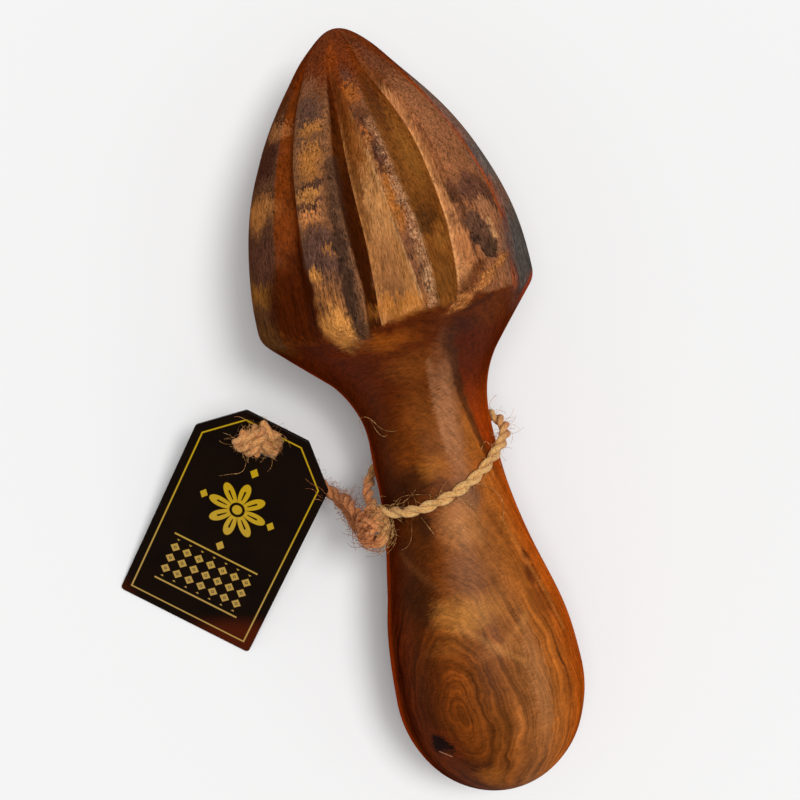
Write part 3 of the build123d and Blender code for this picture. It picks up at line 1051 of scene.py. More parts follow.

    # Worn crests, painted highlights along the ridges, the bark hollow and its lip, and painted shadow beside the lip
    grit = (speck - 0.5) * 1.3 + (pores - 0.5) * 0.8 + medium * 0.9
    worn = crest * head
    colour = finish.blend(worn * (grit + turn * 0.012 - 0.06).over(-0.1, 0.4) * 0.66, colour, linear(206, 156, 112))
    colour = finish.blend(worn * grit.under(-0.35, -0.08) * 0.5, colour, linear(70, 42, 30))
    # Painted highlight along the pale lines, where the edges catch the light
    pale = (ridge + medium * 0.5).under(0.12, 0.42) * straight.over(0.3, 0.5)
    colour = finish.blend(pale * head * 0.45, colour, linear(214, 156, 98))
    pocket = (hollow + (speck - 0.5) * 0.9 + medium * 0.3).over(0.36, 0.66)
    inside = finish.blend((medium * 2.0 + speck - along * 0.12 + 5.4).over(0.1, 0.7), linear(52, 38, 31), linear(98, 66, 50))
    colour = finish.blend(pocket * 0.85, colour, inside)
    rim = (0.5 - abs(hollow + (speck - 0.5) * 1.2 + medium * 0.5 - 0.34)).over(0.3, 0.46) * hollow.over(0.02, 0.2)
    colour = finish.blend(rim * 0.55, colour, linear(156, 108, 72))
    fray = finish.noise(finish.bundle(turn * 0.3 + along * 1.3, along * 0.3 - turn * 0.08, 0.0), 2.6, 5, 0.8)
    ragged = (lip * 1.1 + (fray - 0.5) * 2.2).over(0.15, 0.95) * lip.over(0.03, 0.3)
    torn_wood = finish.blend(fray.over(0.4, 0.62), linear(150, 84, 36), linear(206, 134, 72))
    colour = finish.blend(ragged * 0.8, colour, torn_wood)
    # Painted shadow along the torn lip, between and beside its pale torn strands
    painted_lip_shadow = lip.over(0.08, 0.4) * (1 - ragged)
    colour = finish.blend(painted_lip_shadow * 0.4, colour, linear(96, 44, 16))

    # Grain: lighter and darker than the colour under it
    flat_rib = head * abs(wall).under(0.1, 0.6)
    long_fibres = straight * 0.55 + fine * 0.6
    cross_fibres = ring_line * 0.55 + crosswise * 0.6
    lines = (long_fibres * head + cross_fibres * (1 - head) - 0.575) * (flat_rib * 0.3 + head * 0.7 + 1.15)
    mottle = finish.noise(finish.bundle(right, up, along * 0.7), 0.9, 4, 0.7) - 0.5
    dark_pores = pores.under(0.36, 0.47) * (flat_rib * 0.42 + 0.10)
    pale_pores = pores.over(0.55, 0.68) * flat_rib * 0.55
    shimmer = finish.noise(finish.bundle(right, up, along * 0.6), 0.55, 3, 0.6) - 0.5
    colour = colour * (lines * 2.25 + shimmer * 0.6 + mottle * 0.8 + pale_pores - dark_pores + 1.06)

    roughness = speck * 0.22 + medium * 0.12 + 0.36
    height = lines * 0.8 + pores * 0.5 + (speck * 2.5 + medium * 4.0) * (hollow + lip) + coarse * 2.0
    normal = finish.bump(height, 0.11 * MM)
    # Oil shine, which the steep flanks have lost
    shine = (abs(turn).under(34, 66) + abs(turn).over(114, 146)) * (0.09 - head * 0.05)
    return finish.finish(
        colour=colour, roughness=roughness, normal=normal, specular=0.0, coat=shine, coat_roughness=0.4
    )


# Twine: two twisted plies along a line, in Geometry Nodes
ply_count = 2
ply_radius = 0.62
ply_offset = 0.56
ply_pitch = 7.3
ply_step = 0.4
ply_sides = 10


def input_socket(tree, name, kind, value=None):
    socket = tree.interface.new_socket(name=name, in_out="INPUT", socket_type=kind)
    if value is not None:
        socket.default_value = value
    return socket


def twine_tree():
    tree = bpy.data.node_groups.new("twisted_twine", "GeometryNodeTree")
    input_socket(tree, "Line", "NodeSocketGeometry")
    for name in ("Ply Radius", "Ply Offset", "Pitch", "Step", "Lumps"):
        input_socket(tree, name, "NodeSocketFloat")
    input_socket(tree, "Material", "NodeSocketMaterial")
    tree.interface.new_socket(name="Twine", in_out="OUTPUT", socket_type="NodeSocketGeometry")
    graph = Graph(tree)
    entry = tree.nodes.new("NodeGroupInput")
    given = {socket.name: Signal(graph, socket) for socket in entry.outputs if socket.name}
    line = graph.node("GeometryNodeMeshToCurve", None, {"Mesh": given["Line"]})
    line = graph.node("GeometryNodeResampleCurve", {"mode": "LENGTH"}, {"Curve": line, "Length": given["Step"]})
    travel = graph.node("GeometryNodeSplineParameter", None, None, 1)
    tangent = graph.node("GeometryNodeInputTangent", None, None, 0, Arrow)
    normal = graph.node("GeometryNodeInputNormal", None, None, 0, Arrow)
    side = tangent.cross(normal)
    stored = {"data_type": "FLOAT", "domain": "POINT"}
    plies = []
    for ply in range(ply_count):
        angle = travel / given["Pitch"] * (2 * math.pi) + ply * 2 * math.pi / ply_count
        offset = normal * (angle.cosine() * given["Ply Offset"]) + side * (angle.sine() * given["Ply Offset"])
        moved = graph.node("GeometryNodeSetPosition", None, {"Geometry": line, "Offset": offset})
        named = {"Geometry": moved, "Name": "travel", "Value": travel + ply * 0.031}
        moved = graph.node("GeometryNodeStoreNamedAttribute", stored, named)
        ring = graph.node("GeometryNodeCurvePrimitiveCircle", None, {"Resolution": ply_sides, "Radius": given["Ply Radius"]})
        around = graph.node("GeometryNodeSplineParameter", None, None, 0)
        ring = graph.node("GeometryNodeStoreNamedAttribute", stored, {"Geometry": ring, "Name": "around", "Value": around})
        settings = {"Curve": moved, "Profile Curve": ring, "Fill Caps": True}
        plies.append(graph.node("GeometryNodeCurveToMesh", None, settings))
    joined = graph.node("GeometryNodeJoinGeometry", None, {"Geometry": plies})
    spot = graph.node("GeometryNodeInputPosition", None, None, 0, Arrow)
    lumps = graph.node("ShaderNodeTexNoise", None, {"Vector": spot, "Scale": 900.0, "Detail": 2.0}) - 0.5
    outwards = graph.node("GeometryNodeInputNormal", None, None, 0, Arrow)
    uneven = outwards * (lumps * given["Lumps"])
    joined = graph.node("GeometryNodeSetPosition", None, {"Geometry": joined, "Offset": uneven})
    joined = graph.node("GeometryNodeSetShadeSmooth", None, {"Geometry": joined})
    joined = graph.node("GeometryNodeRealizeInstances", None, {"Geometry": joined})
    joined = graph.node("GeometryNodeSetMaterial", None, {"Geometry": joined, "Material": given["Material"]})
    graph.node("NodeGroupOutput", None, {0: joined})
    return tree


def fuzz_tree():
    """Loose fibres that stand out from a twine's surface."""
    tree = bpy.data.node_groups.new("twine_fuzz", "GeometryNodeTree")
    input_socket(tree, "Twine", "NodeSocketGeometry")
    for name in ("Density", "Fibre Length", "Fibre Radius"):
        input_socket(tree, name, "NodeSocketFloat")
    input_socket(tree, "Seed", "NodeSocketInt")
    input_socket(tree, "Material", "NodeSocketMaterial")
    tree.interface.new_socket(name="Fuzz", in_out="OUTPUT", socket_type="NodeSocketGeometry")
    graph = Graph(tree)
    entry = tree.nodes.new("NodeGroupInput")
    given = {socket.name: Signal(graph, socket) for socket in entry.outputs if socket.name}
    scattered = {"Mesh": given["Twine"], "Density": given["Density"], "Seed": given["Seed"]}
    points = graph.node("GeometryNodeDistributePointsOnFaces", None, scattered)
    facing = Signal(graph, points.socket.node.outputs["Rotation"])
    fibre = graph.node(
        "GeometryNodeCurveQuadraticBezier",
        None,
        {"Resolution": 6, "Start": (0, 0, -0.02), "Middle": (0.15, 0.0, 0.62), "End": (0.95, 0.2, 0.55)},
    )
    ring = graph.node("GeometryNodeCurvePrimitiveCircle", None, {"Resolution": 3, "Radius": given["Fibre Radius"]})
    fibre = graph.node("GeometryNodeCurveToMesh", None, {"Curve": fibre, "Profile Curve": ring, "Fill Caps": True})
    lean = graph.node(
        "FunctionNodeRandomValue",
        {"data_type": "FLOAT_VECTOR"},
        {0: (-1.1, -1.1, 0.0), 1: (1.1, 1.1, 6.283), "Seed": given["Seed"]},
        0,
        Arrow,
    )
    settings = {"rotation_space": "LOCAL"}
    turned = graph.node("FunctionNodeRotateRotation", settings, {"Rotation": facing, "Rotate By": lean})
    size = graph.node(
        "FunctionNodeRandomValue",
        {"data_type": "FLOAT"},
        {2: 0.25, 3: 1.0, "Seed": given["Seed"]},
        1,
    )
    size = size * size * given["Fibre Length"]
    placed = graph.node(
        "GeometryNodeInstanceOnPoints",
        None,
        {"Points": points, "Instance": fibre, "Rotation": turned, "Scale": size},
    )
    placed = graph.node("GeometryNodeRealizeInstances", None, {"Geometry": placed})
    placed = graph.node("GeometryNodeSetMaterial", None, {"Geometry": placed, "Material": given["Material"]})
    graph.node("NodeGroupOutput", None, {0: placed})
    return tree


def grown(source, name, tree, values):
    """A plain mesh of what a node tree makes of a source object."""
    modifier = source.modifiers.new(tree.name, "NODES")
    modifier.node_group = tree
    for item in tree.interface.items_tree:
        if item.item_type == "SOCKET" and item.in_out == "INPUT" and item.name in values:
            modifier[item.identifier] = values[item.name]
    return settle(source, name)


def line_object(points):
    """A bare line in metres."""
    mesh = bpy.data.meshes.new("line")
    edges = [(index, index + 1) for index in range(len(points) - 1)]
    mesh.from_pydata([tuple(value * MM for value in point) for point in points], edges, [])
    made = bpy.data.objects.new("line", mesh)
    bpy.context.collection.objects.link(made)
    return made


def joined_objects(pieces, name):
    """One mesh object from several."""
    if len(pieces) == 1:
        return pieces[0]
    chosen = {"active_object": pieces[0], "object": pieces[0], "selected_editable_objects": pieces}
    with bpy.context.temp_override(**chosen, selected_objects=pieces):
        bpy.ops.object.join()
    pieces[0].name = name
    pieces[0].data.name = name
    return pieces[0]


def twine_finish():
    finish = Finish("jute_twine")
    travel = finish.attribute("travel") * (1 / MM)
    around = finish.attribute("around") * (2 * math.pi)
    streak = finish.bundle(around.cosine() * 2.2, around.sine() * 2.2, travel * 0.55)
    fibres = finish.noise(streak, 3.6, 4, 0.75, 0.4)
    place = finish.place()
    patchy = finish.noise(place, 0.45, 3, 0.6)
    colour = finish.ramp(
        fibres,
        [
            (0.31, linear(92, 38, 14)),
            (0.41, linear(178, 90, 42)),
            (0.51, linear(220, 130, 70)),
            (0.63, linear(248, 190, 124)),
        ],
    )
    pale = finish.ramp(
        fibres,
        [
            (0.32, linear(104, 54, 20)),
            (0.40, linear(204, 132, 64)),
            (0.49, linear(242, 182, 100)),
            (0.60, linear(252, 220, 152)),
        ],
    )
    east = place.dot((1.0, 0.0, 0.0)) + patchy * 4.0 - 2.0
    over_wood = east.over(-15.0, -11.0) * east.under(13.0, 17.0)
    on_tag = east.under(-27.0, -24.0)
    colour = finish.blend(over_wood * 0.9, colour, pale)
    colour = finish.blend(on_tag * 0.4, colour, pale)
    colour = finish.blend(patchy.over(0.5, 0.7) * 0.35, colour, linear(186, 96, 44))
    normal = finish.bump(fibres, 0.2 * MM)
    return finish.finish(colour=colour, roughness=0.7, normal=normal, specular=0.2, sheen=0.12, sheen_roughness=0.5)


def fibre_finish():
    finish = Finish("jute_fibre")
    place = finish.place()
    shade = finish.noise(place, 1.5, 2, 0.7)
    east = place.dot((1.0, 0.0, 0.0))
    pale = finish.ramp(shade, [(0.34, linear(104, 60, 26)), (0.5, linear(182, 125, 67)), (0.66, linear(236, 194, 130))])
    warm = finish.ramp(shade, [(0.34, linear(76, 32, 12)), (0.5, linear(150, 74, 34)), (0.66, linear(222, 142, 84))])
    between_ends = east.over(-28.0, -25.0) * east.under(-16.0, -13.0)
    colour = finish.blend(between_ends * 0.85, pale, warm)
    return finish.finish(colour=colour, roughness=0.6, specular=0.2)


wood = wood_finish()
jute = twine_finish()
fibre = fibre_finish()
twisting = twine_tree()
fuzzing = fuzz_tree()


def twine(points, name, step=ply_step, radius=ply_radius, offset=ply_offset, pitch=ply_pitch):
    """Twisted twine along points in millimetres."""
    values = {
        "Ply Radius": radius * MM,
        "Ply Offset": offset * MM,
        "Pitch": pitch * MM,
        "Step": step * MM,
        "Lumps": 0.16 * MM,
        "Material": jute,
    }
    return grown(line_object(points), name, twisting, values)


def fuzz(sources, name, density, length, radius, seed):
    """Fibres that stand out from pieces of twine."""
    copies = []
    for source in sources:
        copy = bpy.data.objects.new("fuzz_source", source.data.copy())
        bpy.context.collection.objects.link(copy)
        copies.append(copy)
    whole = joined_objects(copies, "fuzz_source")
    values = {
        "Density": density / (MM * MM),
        "Fibre Length": length * MM,
        "Fibre Radius": radius,
        "Seed": seed,
        "Material": fibre,
    }
    return grown(whole, name, fuzzing, values)


def tube_mesh(lines, radius, name, material, sides=4):
    """Thin fibres along lines in millimetres, as one mesh."""
    points = []
    faces = []
    for line in lines:
        count = len(line)
        for index, here in enumerate(line):
            ahead = line[min(index + 1, count - 1)] - line[max(index - 1, 0)]
            side = ahead.cross(Vector((0.31, 0.2, 1.0))).normalized()
            rise = side.cross(ahead).normalized()
            thin = radius * (0.35 + 0.65 * math.sin(math.pi * min(max(index / (count - 1), 0.08), 0.92)))
            first = len(points)
            for step in range(sides):
                angle = 2 * math.pi * step / sides
                points.append(here + side * (math.cos(angle) * thin) + rise * (math.sin(angle) * thin))
            if index:
                for step in range(sides):
                    beside = (step + 1) % sides
                    faces.append((first - sides + step, first - sides + beside, first + beside, first + step))
            else:
                faces.append(tuple(first + step for step in reversed(range(sides))))
        faces.append(tuple(len(points) - sides + step for step in range(sides)))
    made = mesh_object(name, points, faces, material)
    graph = bmesh.new()
    graph.from_mesh(made.data)
    bmesh.ops.recalc_face_normals(graph, faces=graph.faces)
    graph.to_mesh(made.data)
    graph.free()
    return made


def tangle(middle, turned, reach, count, seed, squash=0.8, wild=0.18, bias=0.0):
    """Lines of fibres wound every way round a knot."""
    draw = random.Random(seed)
    lines = []
    for index in range(count):
        axis = Vector((draw.gauss(bias, 1), draw.gauss(0, 1), draw.gauss(0, 0.6))).normalized()
        across = axis.orthogonal().normalized()
        other = axis.cross(across)
        start = draw.uniform(0, 2 * math.pi)
        sweep = draw.uniform(0.7, 2.2)
        away = reach * draw.uniform(0.72, 1.02)
        lift = draw.gauss(0, wild) * reach
        tilt = draw.gauss(0, 0.25) * reach
        line = []
        for step in range(9):
            share = step / 8
            angle = start + sweep * share
            bulge = away + lift * share * share
            rise = tilt * (0.5 + 0.4 * math.sin(2.5 * angle))
            point = (across * math.cos(angle) + other * math.sin(angle)) * bulge + axis * rise
            line.append(middle + turned @ Vector((point.x, point.y, point.z * squash)))
        lines.append(line)
    return lines


def wound_ball(radius, turns, swing, squash, steps=90):
    """A line wound round itself into a ball, its loops turning as they go."""
    points = []
    for index in range(steps + 1):
        share = index / steps
        angle = 2 * math.pi * turns * share
        twist = math.radians(swing) * share
        reach = radius * (0.9 + 0.1 * math.sin(2.3 * angle))
        x = reach * math.cos(angle)
        y = reach * math.sin(angle) * 0.45
        z = reach * math.sin(angle) * squash
        points.append(Vector((x * math.cos(twist) - y * math.sin(twist), x * math.sin(twist) + y * math.cos(twist), z)))
    return points


# The pieces
reamer = carved_wood(wood)
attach(reamer, "reamer")
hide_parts("reamer_body")


def loop_points():
    """Corners of the turn of twine round the neck."""
    step = (loop_end_turn - loop_start_turn) / loop_steps
    corner_share = 1 / math.cos(math.radians(step / 2))
    points = []
    for index in range(loop_steps + 1):
        turn = loop_start_turn + index * step
        angle = math.radians(turn)
        along = neck_start + loop_distance + loop_fall_front * math.cos(angle) + loop_fall_side * math.sin(angle)
        lift = kink_height * math.exp(-(((turn - kink_turn) / kink_spread) ** 2))
        radius = (radius_at(along) + running_gap + twine_diameter / 2 + lift) * corner_share
        points.append(polar(turn, radius, along))
    return points


def trefoil(radius, height, steps=48, start=0.0, sweep=1.0):
    """An overhand knot's line, lying flat round the origin."""
    points = []
    for index in range(steps + 1):
        angle = 2 * math.pi * (start + sweep * index / steps)
        x = (math.sin(angle) + 2 * math.sin(2 * angle)) * radius / 3
        y = (math.cos(angle) - 2 * math.cos(2 * angle)) * radius / 3
        points.append(Vector((x, y, -math.sin(3 * angle) * height)))
    return points


neck_turn = twine(smooth_route(loop_points()), "neck_turn")
knot_along = neck_start + neck_knot_distance
knot_middle = Vector(polar(neck_knot_turn, radius_at(knot_along) + neck_knot_height, knot_along))
knot_out = Vector(polar(neck_knot_turn, 100.0, knot_along)) - Vector(polar(neck_knot_turn, 0.0, knot_along))
knot_out.normalize()
knot_facing = Vector((0, 0, 1)).rotation_difference(knot_out).to_matrix()
knot_line = [knot_middle + knot_facing @ point for point in wound_ball(neck_knot_radius - 1.2, 2.7, 230, 0.7)]
side_knot = twine([tuple(point) for point in knot_line], "side_knot", 0.35)
loop_fuzz = fuzz([neck_turn, side_knot], "loop_fuzz", 0.7, 3.0, 0.012, SEED)
knot_fibres = tube_mesh(
    tangle(knot_middle, knot_facing, neck_knot_radius, 150, SEED + 7, 0.85, 0.24), 0.058, "knot_fibres", fibre
)


def over_wood(turn, along, lift):
    return Vector(polar(turn, radius_at(along) + lift, along))


# Long loose hairs on the wood beside the twine: turn, distance from the tip, and height over the wood
loose_hairs = [
    [(-72, 78.3, 0.2), (-62, 74.6, 1.0), (-46, 74.0, 0.6), (-37, 78.0, 0.9), (-27, 78.1, 0.2)],
    [(-48, 75.0, 0.2), (-44, 79.5, 0.8), (-36, 78.6, 0.3)],
    [(30, 92.2, 2.2), (38, 92.6, 1.2), (50, 95.5, 0.9), (51, 98.6, 0.5), (44, 100.8, 0.2)],
    [(-20, 95.3, 1.8), (-16, 97.6, 1.2), (-13, 100.0, 0.3)],
    [(-28, 96.0, 2.0), (-31, 99.0, 1.4), (-38, 100.8, 0.8), (-46, 101.2, 0.3)],
    [(-46, 93.4, 1.8), (-40, 91.0, 1.4), (-26, 90.6, 0.8), (-10, 91.6, 0.3)],
    [(-50, 95.0, 2.0), (-46, 91.4, 2.2), (-34, 92.6, 1.0), (-22, 90.0, 0.4)],
    [(52, 86.0, 2.4), (60, 83.0, 2.6), (68, 84.5, 2.0), (72, 88.0, 1.6)],
    [(44, 88.0, 2.0), (54, 84.4, 2.2), (60, 87.0, 1.6), (66, 83.6, 1.4)],
    [(40, 86.5, 1.0), (48, 84.0, 1.2), (56, 85.4, 0.8), (62, 88.0, 1.2)],
    [(14, 93.0, 1.6), (20, 96.4, 1.4), (28, 97.0, 0.4)],
    [(-6, 93.6, 2.4), (-2, 90.4, 1.8), (8, 89.4, 0.5)],
]
hair_lines = [
    [Vector(point) for point in smooth_route([tuple(over_wood(*spot)) for spot in hair], 6)] for hair in loose_hairs
]
long_hairs = tube_mesh(hair_lines, 0.048, "long_hairs", fibre)
for piece in (neck_turn, side_knot, loop_fuzz, knot_fibres, long_hairs):
    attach(piece, "twine_loop")
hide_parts("neck_loop")
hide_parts("neck_knot")

for index, (name, route) in enumerate(lead_routes.items()):
    path = smooth_route(route)
    strand = twine(path, name)
    hairs = fuzz([strand], name + "_fuzz", 3.2, 2.4, 0.014, SEED + 1 + index)
    for piece in (strand, hairs):
        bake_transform(piece)
    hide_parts(lead_nodes[name])

# Tag
slope = math.radians(tag_slope)
heading = math.radians(tag_heading)
tag_up = -Vector((math.cos(heading) * math.cos(slope), math.sin(heading) * math.cos(slope), -math.sin(slope)))
tag_across = Vector((-math.sin(heading), math.cos(heading), 0))
tag_out = tag_across.cross(tag_up)
below_hole = tag_length - tag_hole_distance
tag_height = below_hole * math.sin(slope) + tag_thickness / 2 * math.cos(slope)
tag_place = Matrix.Translation(Vector((tag_hole_x, tag_hole_y, tag_height))) @ Matrix(
    (tag_across, tag_up, tag_out)
).transposed().to_4x4()


# Gilt ornament on the tag's face: rule, rosette, lozenges and band, by place up the tag from its hole
rule_inset = 1.9
rule_half = 0.09
rosette_up = -16.5
rosette_reach = 6.4
petal_count = 8
band_up = -33.5
band_half_height = 4.8
band_half_width = 9.6
lozenge_size = 2.74


def card_finish():
    finish = Finish("laminated_card")
    place = finish.place() - (tag_hole_x, tag_hole_y, tag_height)
    across = place.dot(tuple(tag_across))
    up = place.dot(tuple(tag_up))
    front = place.dot(tuple(tag_out)).over(0.3, 0.34)
    shade = finish.noise(finish.bundle(across, up, 0.0), 0.12, 2, 0.5)
    colour = finish.ramp(shade, [(0.3, linear(14, 6, 2)), (0.7, linear(22, 10, 4))])

    # Warm light caught by the film at the two lower corners
    right_glow = (across * 0.44 - up * 0.83).over(35.6, 40.0) * across.over(-3.0, 8.0)
    left_glow = (across * -0.8 - up * 0.9).over(48.0, 53.0)
    colour = finish.blend(right_glow * 0.42 + left_glow * 0.25, colour, linear(104, 34, 6))

    # Rule that follows the card's outline
    side = abs(across)
    top = tag_hole_distance
    corner = (top + tag_width / 2 - tag_corner_cut - side - up) * math.sqrt(0.5)
    inside = (tag_width / 2 - side).at_most(top - up).at_most(up - (top - tag_length)).at_most(corner)
    rule = abs(inside - rule_inset).under(rule_half, rule_half + 0.12)

    # Rosette of eight petals, each with its vein, round a small boss
    rise = up - rosette_up
    reach = (across * across + rise * rise).root()
    round_turn = finish.node("ShaderNodeMath", {"operation": "ARCTAN2"}, {0: rise, 1: across})
    lobe = abs((round_turn * (petal_count / 2)).cosine())
    petal = (lobe ** 0.7 * (rosette_reach - 1.2) + 1.2 - reach).over(0.0, 0.2) * reach.over(1.55, 1.75)
    vein = lobe.over(0.972, 0.99) * reach.over(2.2, 2.5) * reach.under(4.4, 4.7)
    boss = reach.under(0.95, 1.15)
    rosette = (petal * (1 - vein)).at_least(boss)

    # Lozenges above and below it, and a band of them lower down
    def lozenge(x, y, size):
        return (abs(across - x) * 1.25 + abs(up - y)).under(size, size + 0.18)

    marks = lozenge(0.0, rosette_up + 9.2, 1.1).at_least(lozenge(0.0, rosette_up - 9.2, 1.1))
    for x in (-7.6, 7.6):
        marks = marks.at_least(lozenge(x, rosette_up, 1.0))
    low = up - band_up
    cell_x = abs((across / lozenge_size + 0.5).fraction() - 0.5)
    cell_y = abs((low / lozenge_size + 0.5).fraction() - 0.5)
    spread_out = cell_x + cell_y
    within = side.under(band_half_width - 0.1, band_half_width) * abs(low).under(band_half_height - 0.1, band_half_height)
    band = (spread_out.under(0.37, 0.42) * spread_out.over(0.12, 0.17)).at_least(spread_out.under(0.06, 0.1)) * within
    bars = abs(abs(low) - band_half_height - 0.9).under(0.12, 0.24) * side.under(band_half_width - 0.1, band_half_width)
    gilt = rule.at_least(rosette).at_least(marks).at_least(band).at_least(bars) * front
    gold = finish.blend((up + 40).over(0.0, 30.0), linear(196, 158, 84), linear(206, 166, 24))
    worn = finish.noise(finish.bundle(across, up, 0.0), 2.4, 2, 0.6)
    colour = finish.blend(gilt * (worn * 0.3 + 0.78), colour, gold)
    return finish.finish(
        colour=colour, roughness=0.26 + gilt * 0.14, metallic=gilt * 0.25, specular=0.05, coat=0.05, coat_roughness=0.08
    )


def rounded_corners(points, radius, steps=5):
    """A closed outline with its corners rounded."""
    rounded = []
    count = len(points)
    for index, corner in enumerate(points):
        corner = Vector(corner)
        before = (Vector(points[index - 1]) - corner).normalized()
        after = (Vector(points[(index + 1) % count]) - corner).normalized()
        half = before.angle(after) / 2
        back = radius / math.tan(half)
        start = corner + before * back
        end = corner + after * back
        for step in range(steps + 1):
            share = step / steps
            rounded.append(start * (1 - share) ** 2 + corner * 2 * share * (1 - share) + end * share**2)
    return rounded


def tag_card(material):
    half = tag_width / 2
    top = tag_hole_distance
    bottom = top - tag_length
    corners = [
        (-half, bottom),
        (half, bottom),
        (half, top - tag_corner_cut),
        (half - tag_corner_cut, top),
        (-half + tag_corner_cut, top),
        (-half, top - tag_corner_cut),
    ]
    edge_round = 0.14
    outer = rounded_corners(corners, 0.9)
    hole = [
        (math.cos(2 * math.pi * step / 48) * tag_hole_diameter / 2, math.sin(2 * math.pi * step / 48) * tag_hole_diameter / 2)
        for step in range(48)
    ]
    curve = bpy.data.curves.new("card", "CURVE")
    curve.dimensions = "2D"
    curve.fill_mode = "BOTH"
    for ring in (outer, hole):
        spline = curve.splines.new("POLY")
        spline.points.add(len(ring) - 1)
        for knot, point in zip(spline.points, ring):
            knot.co = (point[0] * MM, point[1] * MM, 0, 1)
        spline.use_cyclic_u = True
    curve.extrude = (tag_thickness / 2 - edge_round) * MM
    curve.bevel_depth = edge_round * MM
    curve.offset = -edge_round * MM
    curve.bevel_resolution = 2
    holder = bpy.data.objects.new("card", curve)
    bpy.context.collection.objects.link(holder)
    card = settle(holder, "laminated_tag")
    place = tag_place.copy()
    place.translation = place.translation * MM
    card.data.transform(place)
    card.data.materials.clear()
    card.data.materials.append(material)
    return card


card = tag_card(card_finish())
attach(card, "tag")
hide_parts("hang_tag")

face_height = tag_thickness / 2 + running_gap
ball_height = face_height + knot_seat_share * tag_knot_radius
knot_shift_across = 0.5
knot_shift_up = 1.2
ball_across = tag_knot_across + knot_shift_across
ball_up = knot_shift_up - tag_knot_down
ball_middle = Vector((ball_across, ball_up, ball_height))
coil_radius = 2.45
coil_from = -2.3
coil_to = 1.7
coil_turns = 2.6
coil_end = 3.8
ball_line = []
for index in range(71):
    share = index / 70
    aside = coil_from + (coil_to - coil_from) * share
    reach = coil_radius * math.sqrt(1 - (aside / coil_end) ** 2)
    angle = 2 * math.pi * (coil_turns * share + 0.1)
    lean = 0.35 * reach * math.cos(angle)
    around = Vector((aside + lean, reach * math.cos(angle), reach * 0.85 * math.sin(angle)))
    ball_line.append(tag_place @ (ball_middle + around))
tail_height = face_height + knot_seat_share * tail_diameter / 2
tail_line = [
    tag_place @ Vector((ball_across + (tail_length - ball_across) * step / 10, ball_up, tail_height))
    for step in range(11)
]
under_tail = [(-3.0, 3.3, 1.3), (-1.6, 3.1, 1.5), (-0.2, 2.7, 1.5), (1.1, 2.1, 1.4)]
end_knot = joined_objects(
    [
        twine([tuple(point) for point in ball_line], "ball", 0.35),
        twine([tuple(point) for point in tail_line], "tail", 0.35, 0.85, 0.8, 9.0),
        twine([tuple(tag_place @ Vector(spot)) for spot in under_tail], "under_tail", 0.35, 0.8, 0.7, 9.0),
    ],
    "end_knot",
)
end_fuzz = fuzz([end_knot], "end_knot_fuzz", 0.8, 2.4, 0.012, SEED + 5)
tag_turned = tag_place.to_3x3()
knot_wraps = tangle(tag_place @ ball_middle, tag_turned, tag_knot_radius, 80, SEED + 8, 0.85, 0.1, 2.4)
fray = random.Random(SEED + 9)
for index in range(90):
    angle = fray.uniform(0, 2 * math.pi)
    reach = fray.uniform(0.2, 1.7)
    open_share = fray.uniform(1.0, 1.5)
    line = []
    for step in range(5):
        share = step / 4
        out = reach * (1 + (open_share - 1) * share)
        along_tail = ball_across + 1.5 + (tail_length - ball_across - 1.2 + fray.uniform(-0.3, 0.3)) * share
        height = max(tail_height + math.sin(angle) * out, face_height + 0.06)
        line.append(tag_place @ Vector((along_tail, ball_up + math.cos(angle) * out * 1.3, height)))
    knot_wraps.append(line)
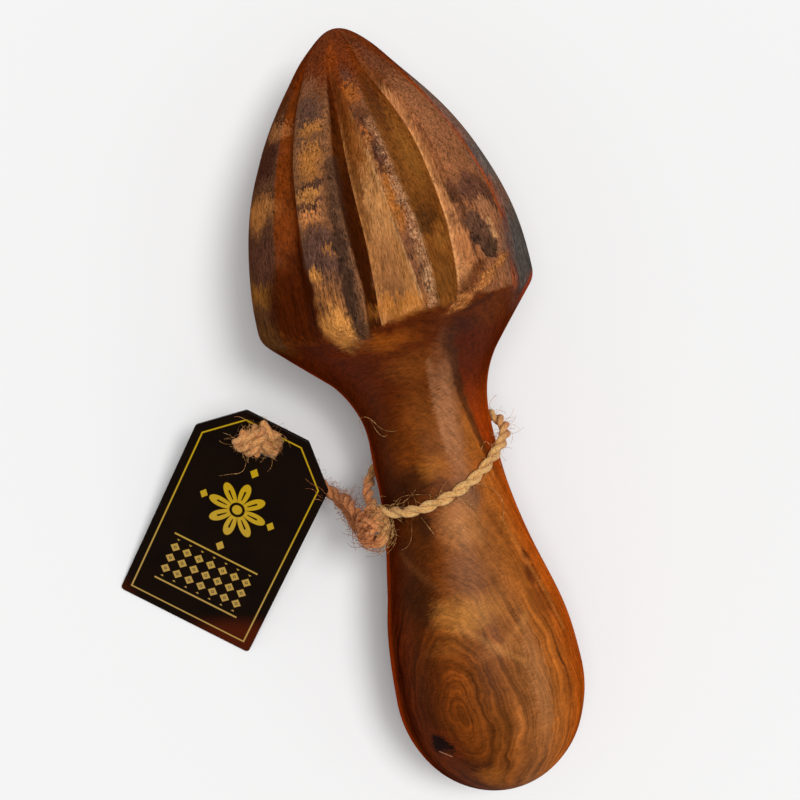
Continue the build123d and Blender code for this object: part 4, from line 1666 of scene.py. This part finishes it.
tag_hairs = [
    [(-3.2, -3.6, 1.2), (-2.0, -6.5, 1.0), (-2.6, -8.6, 0.7), (-4.2, -9.6, 0.6), (-6.3, -11.3, 0.6)],
    [(-6.0, -2.6, 1.6), (-8.0, -4.4, 1.2), (-9.4, -4.0, 0.7)],
    [(-1.0, 2.6, 1.6), (0.6, 3.9, 1.2), (2.8, 3.4, 0.8), (4.2, 1.8, 0.6)],
    [(1.6, -1.6, 1.4), (3.0, -3.4, 1.0), (2.2, -5.4, 0.7)],
    [(-5.0, 2.8, 1.8), (-7.2, 3.6, 1.2), (-8.6, 2.2, 0.7)],
    [(15.4, -4.6, 0.2), (13.2, -3.0, 0.9), (11.4, -3.6, 0.7), (9.6, -3.0, 0.6)],
    [(15.3, -5.4, 0.2), (13.4, -5.2, 0.8), (12.2, -4.0, 0.7), (10.6, -5.0, 0.6)],
    [(15.2, -6.2, 0.1), (13.8, -5.4, 0.8), (13.0, -6.6, 0.6)],
]
knot_wraps += [
    [Vector(point) for point in smooth_route([tuple(tag_place @ Vector(spot)) for spot in hair], 6)]
    for hair in tag_hairs
]
end_fibres = tube_mesh(knot_wraps, 0.055, "end_fibres", fibre)
for piece in (end_knot, end_fuzz, end_fibres):
    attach(piece, "tag_lead")
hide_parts("tag_knot")

# Table top, lights and air
floor_finish = Finish("pale_table")
floor_shade = floor_finish.noise(floor_finish.place(), 0.004, 1, 0.5)
floor_colour = floor_finish.ramp(floor_shade, [(0.3, (0.86, 0.86, 0.86, 1)), (0.7, (0.87, 0.87, 0.87, 1))])
table_half = 9000.0
table = mesh_object(
    "table",
    [(x * table_half, y * table_half, 0.0) for x, y in ((-1, -1), (1, -1), (1, 1), (-1, 1))],
    [(0, 1, 2, 3)],
    floor_finish.finish(colour=floor_colour, roughness=0.9, specular=0.1),
)


def soft_sun(name, turn, rise, width, strength):
    """A wide, soft light from a turn about the camera's view, with 0 to its right, and a rise above the table."""
    data = bpy.data.lights.new(name, "SUN")
    data.angle = math.radians(width)
    data.energy = strength
    lamp = bpy.data.objects.new(name, data)
    heading = math.radians(turn + camera_turn)
    lift = math.radians(rise)
    way = Vector((math.cos(heading) * math.cos(lift), math.sin(heading) * math.cos(lift), math.sin(lift)))
    lamp.rotation_euler = (-way).to_track_quat("-Z", "Y").to_euler()
    lamp.location = way
    bpy.context.collection.objects.link(lamp)


soft_sun("key_light", 26, 73, 16, 1.35)
soft_sun("top_light", 5, 87, 30, 1.2)
world = bpy.data.worlds.new("air")
world.use_nodes = True
world.node_tree.nodes["Background"].inputs["Color"].default_value = (1, 1, 1, 1)
world.node_tree.nodes["Background"].inputs["Strength"].default_value = 0.27
bpy.context.scene.world = world
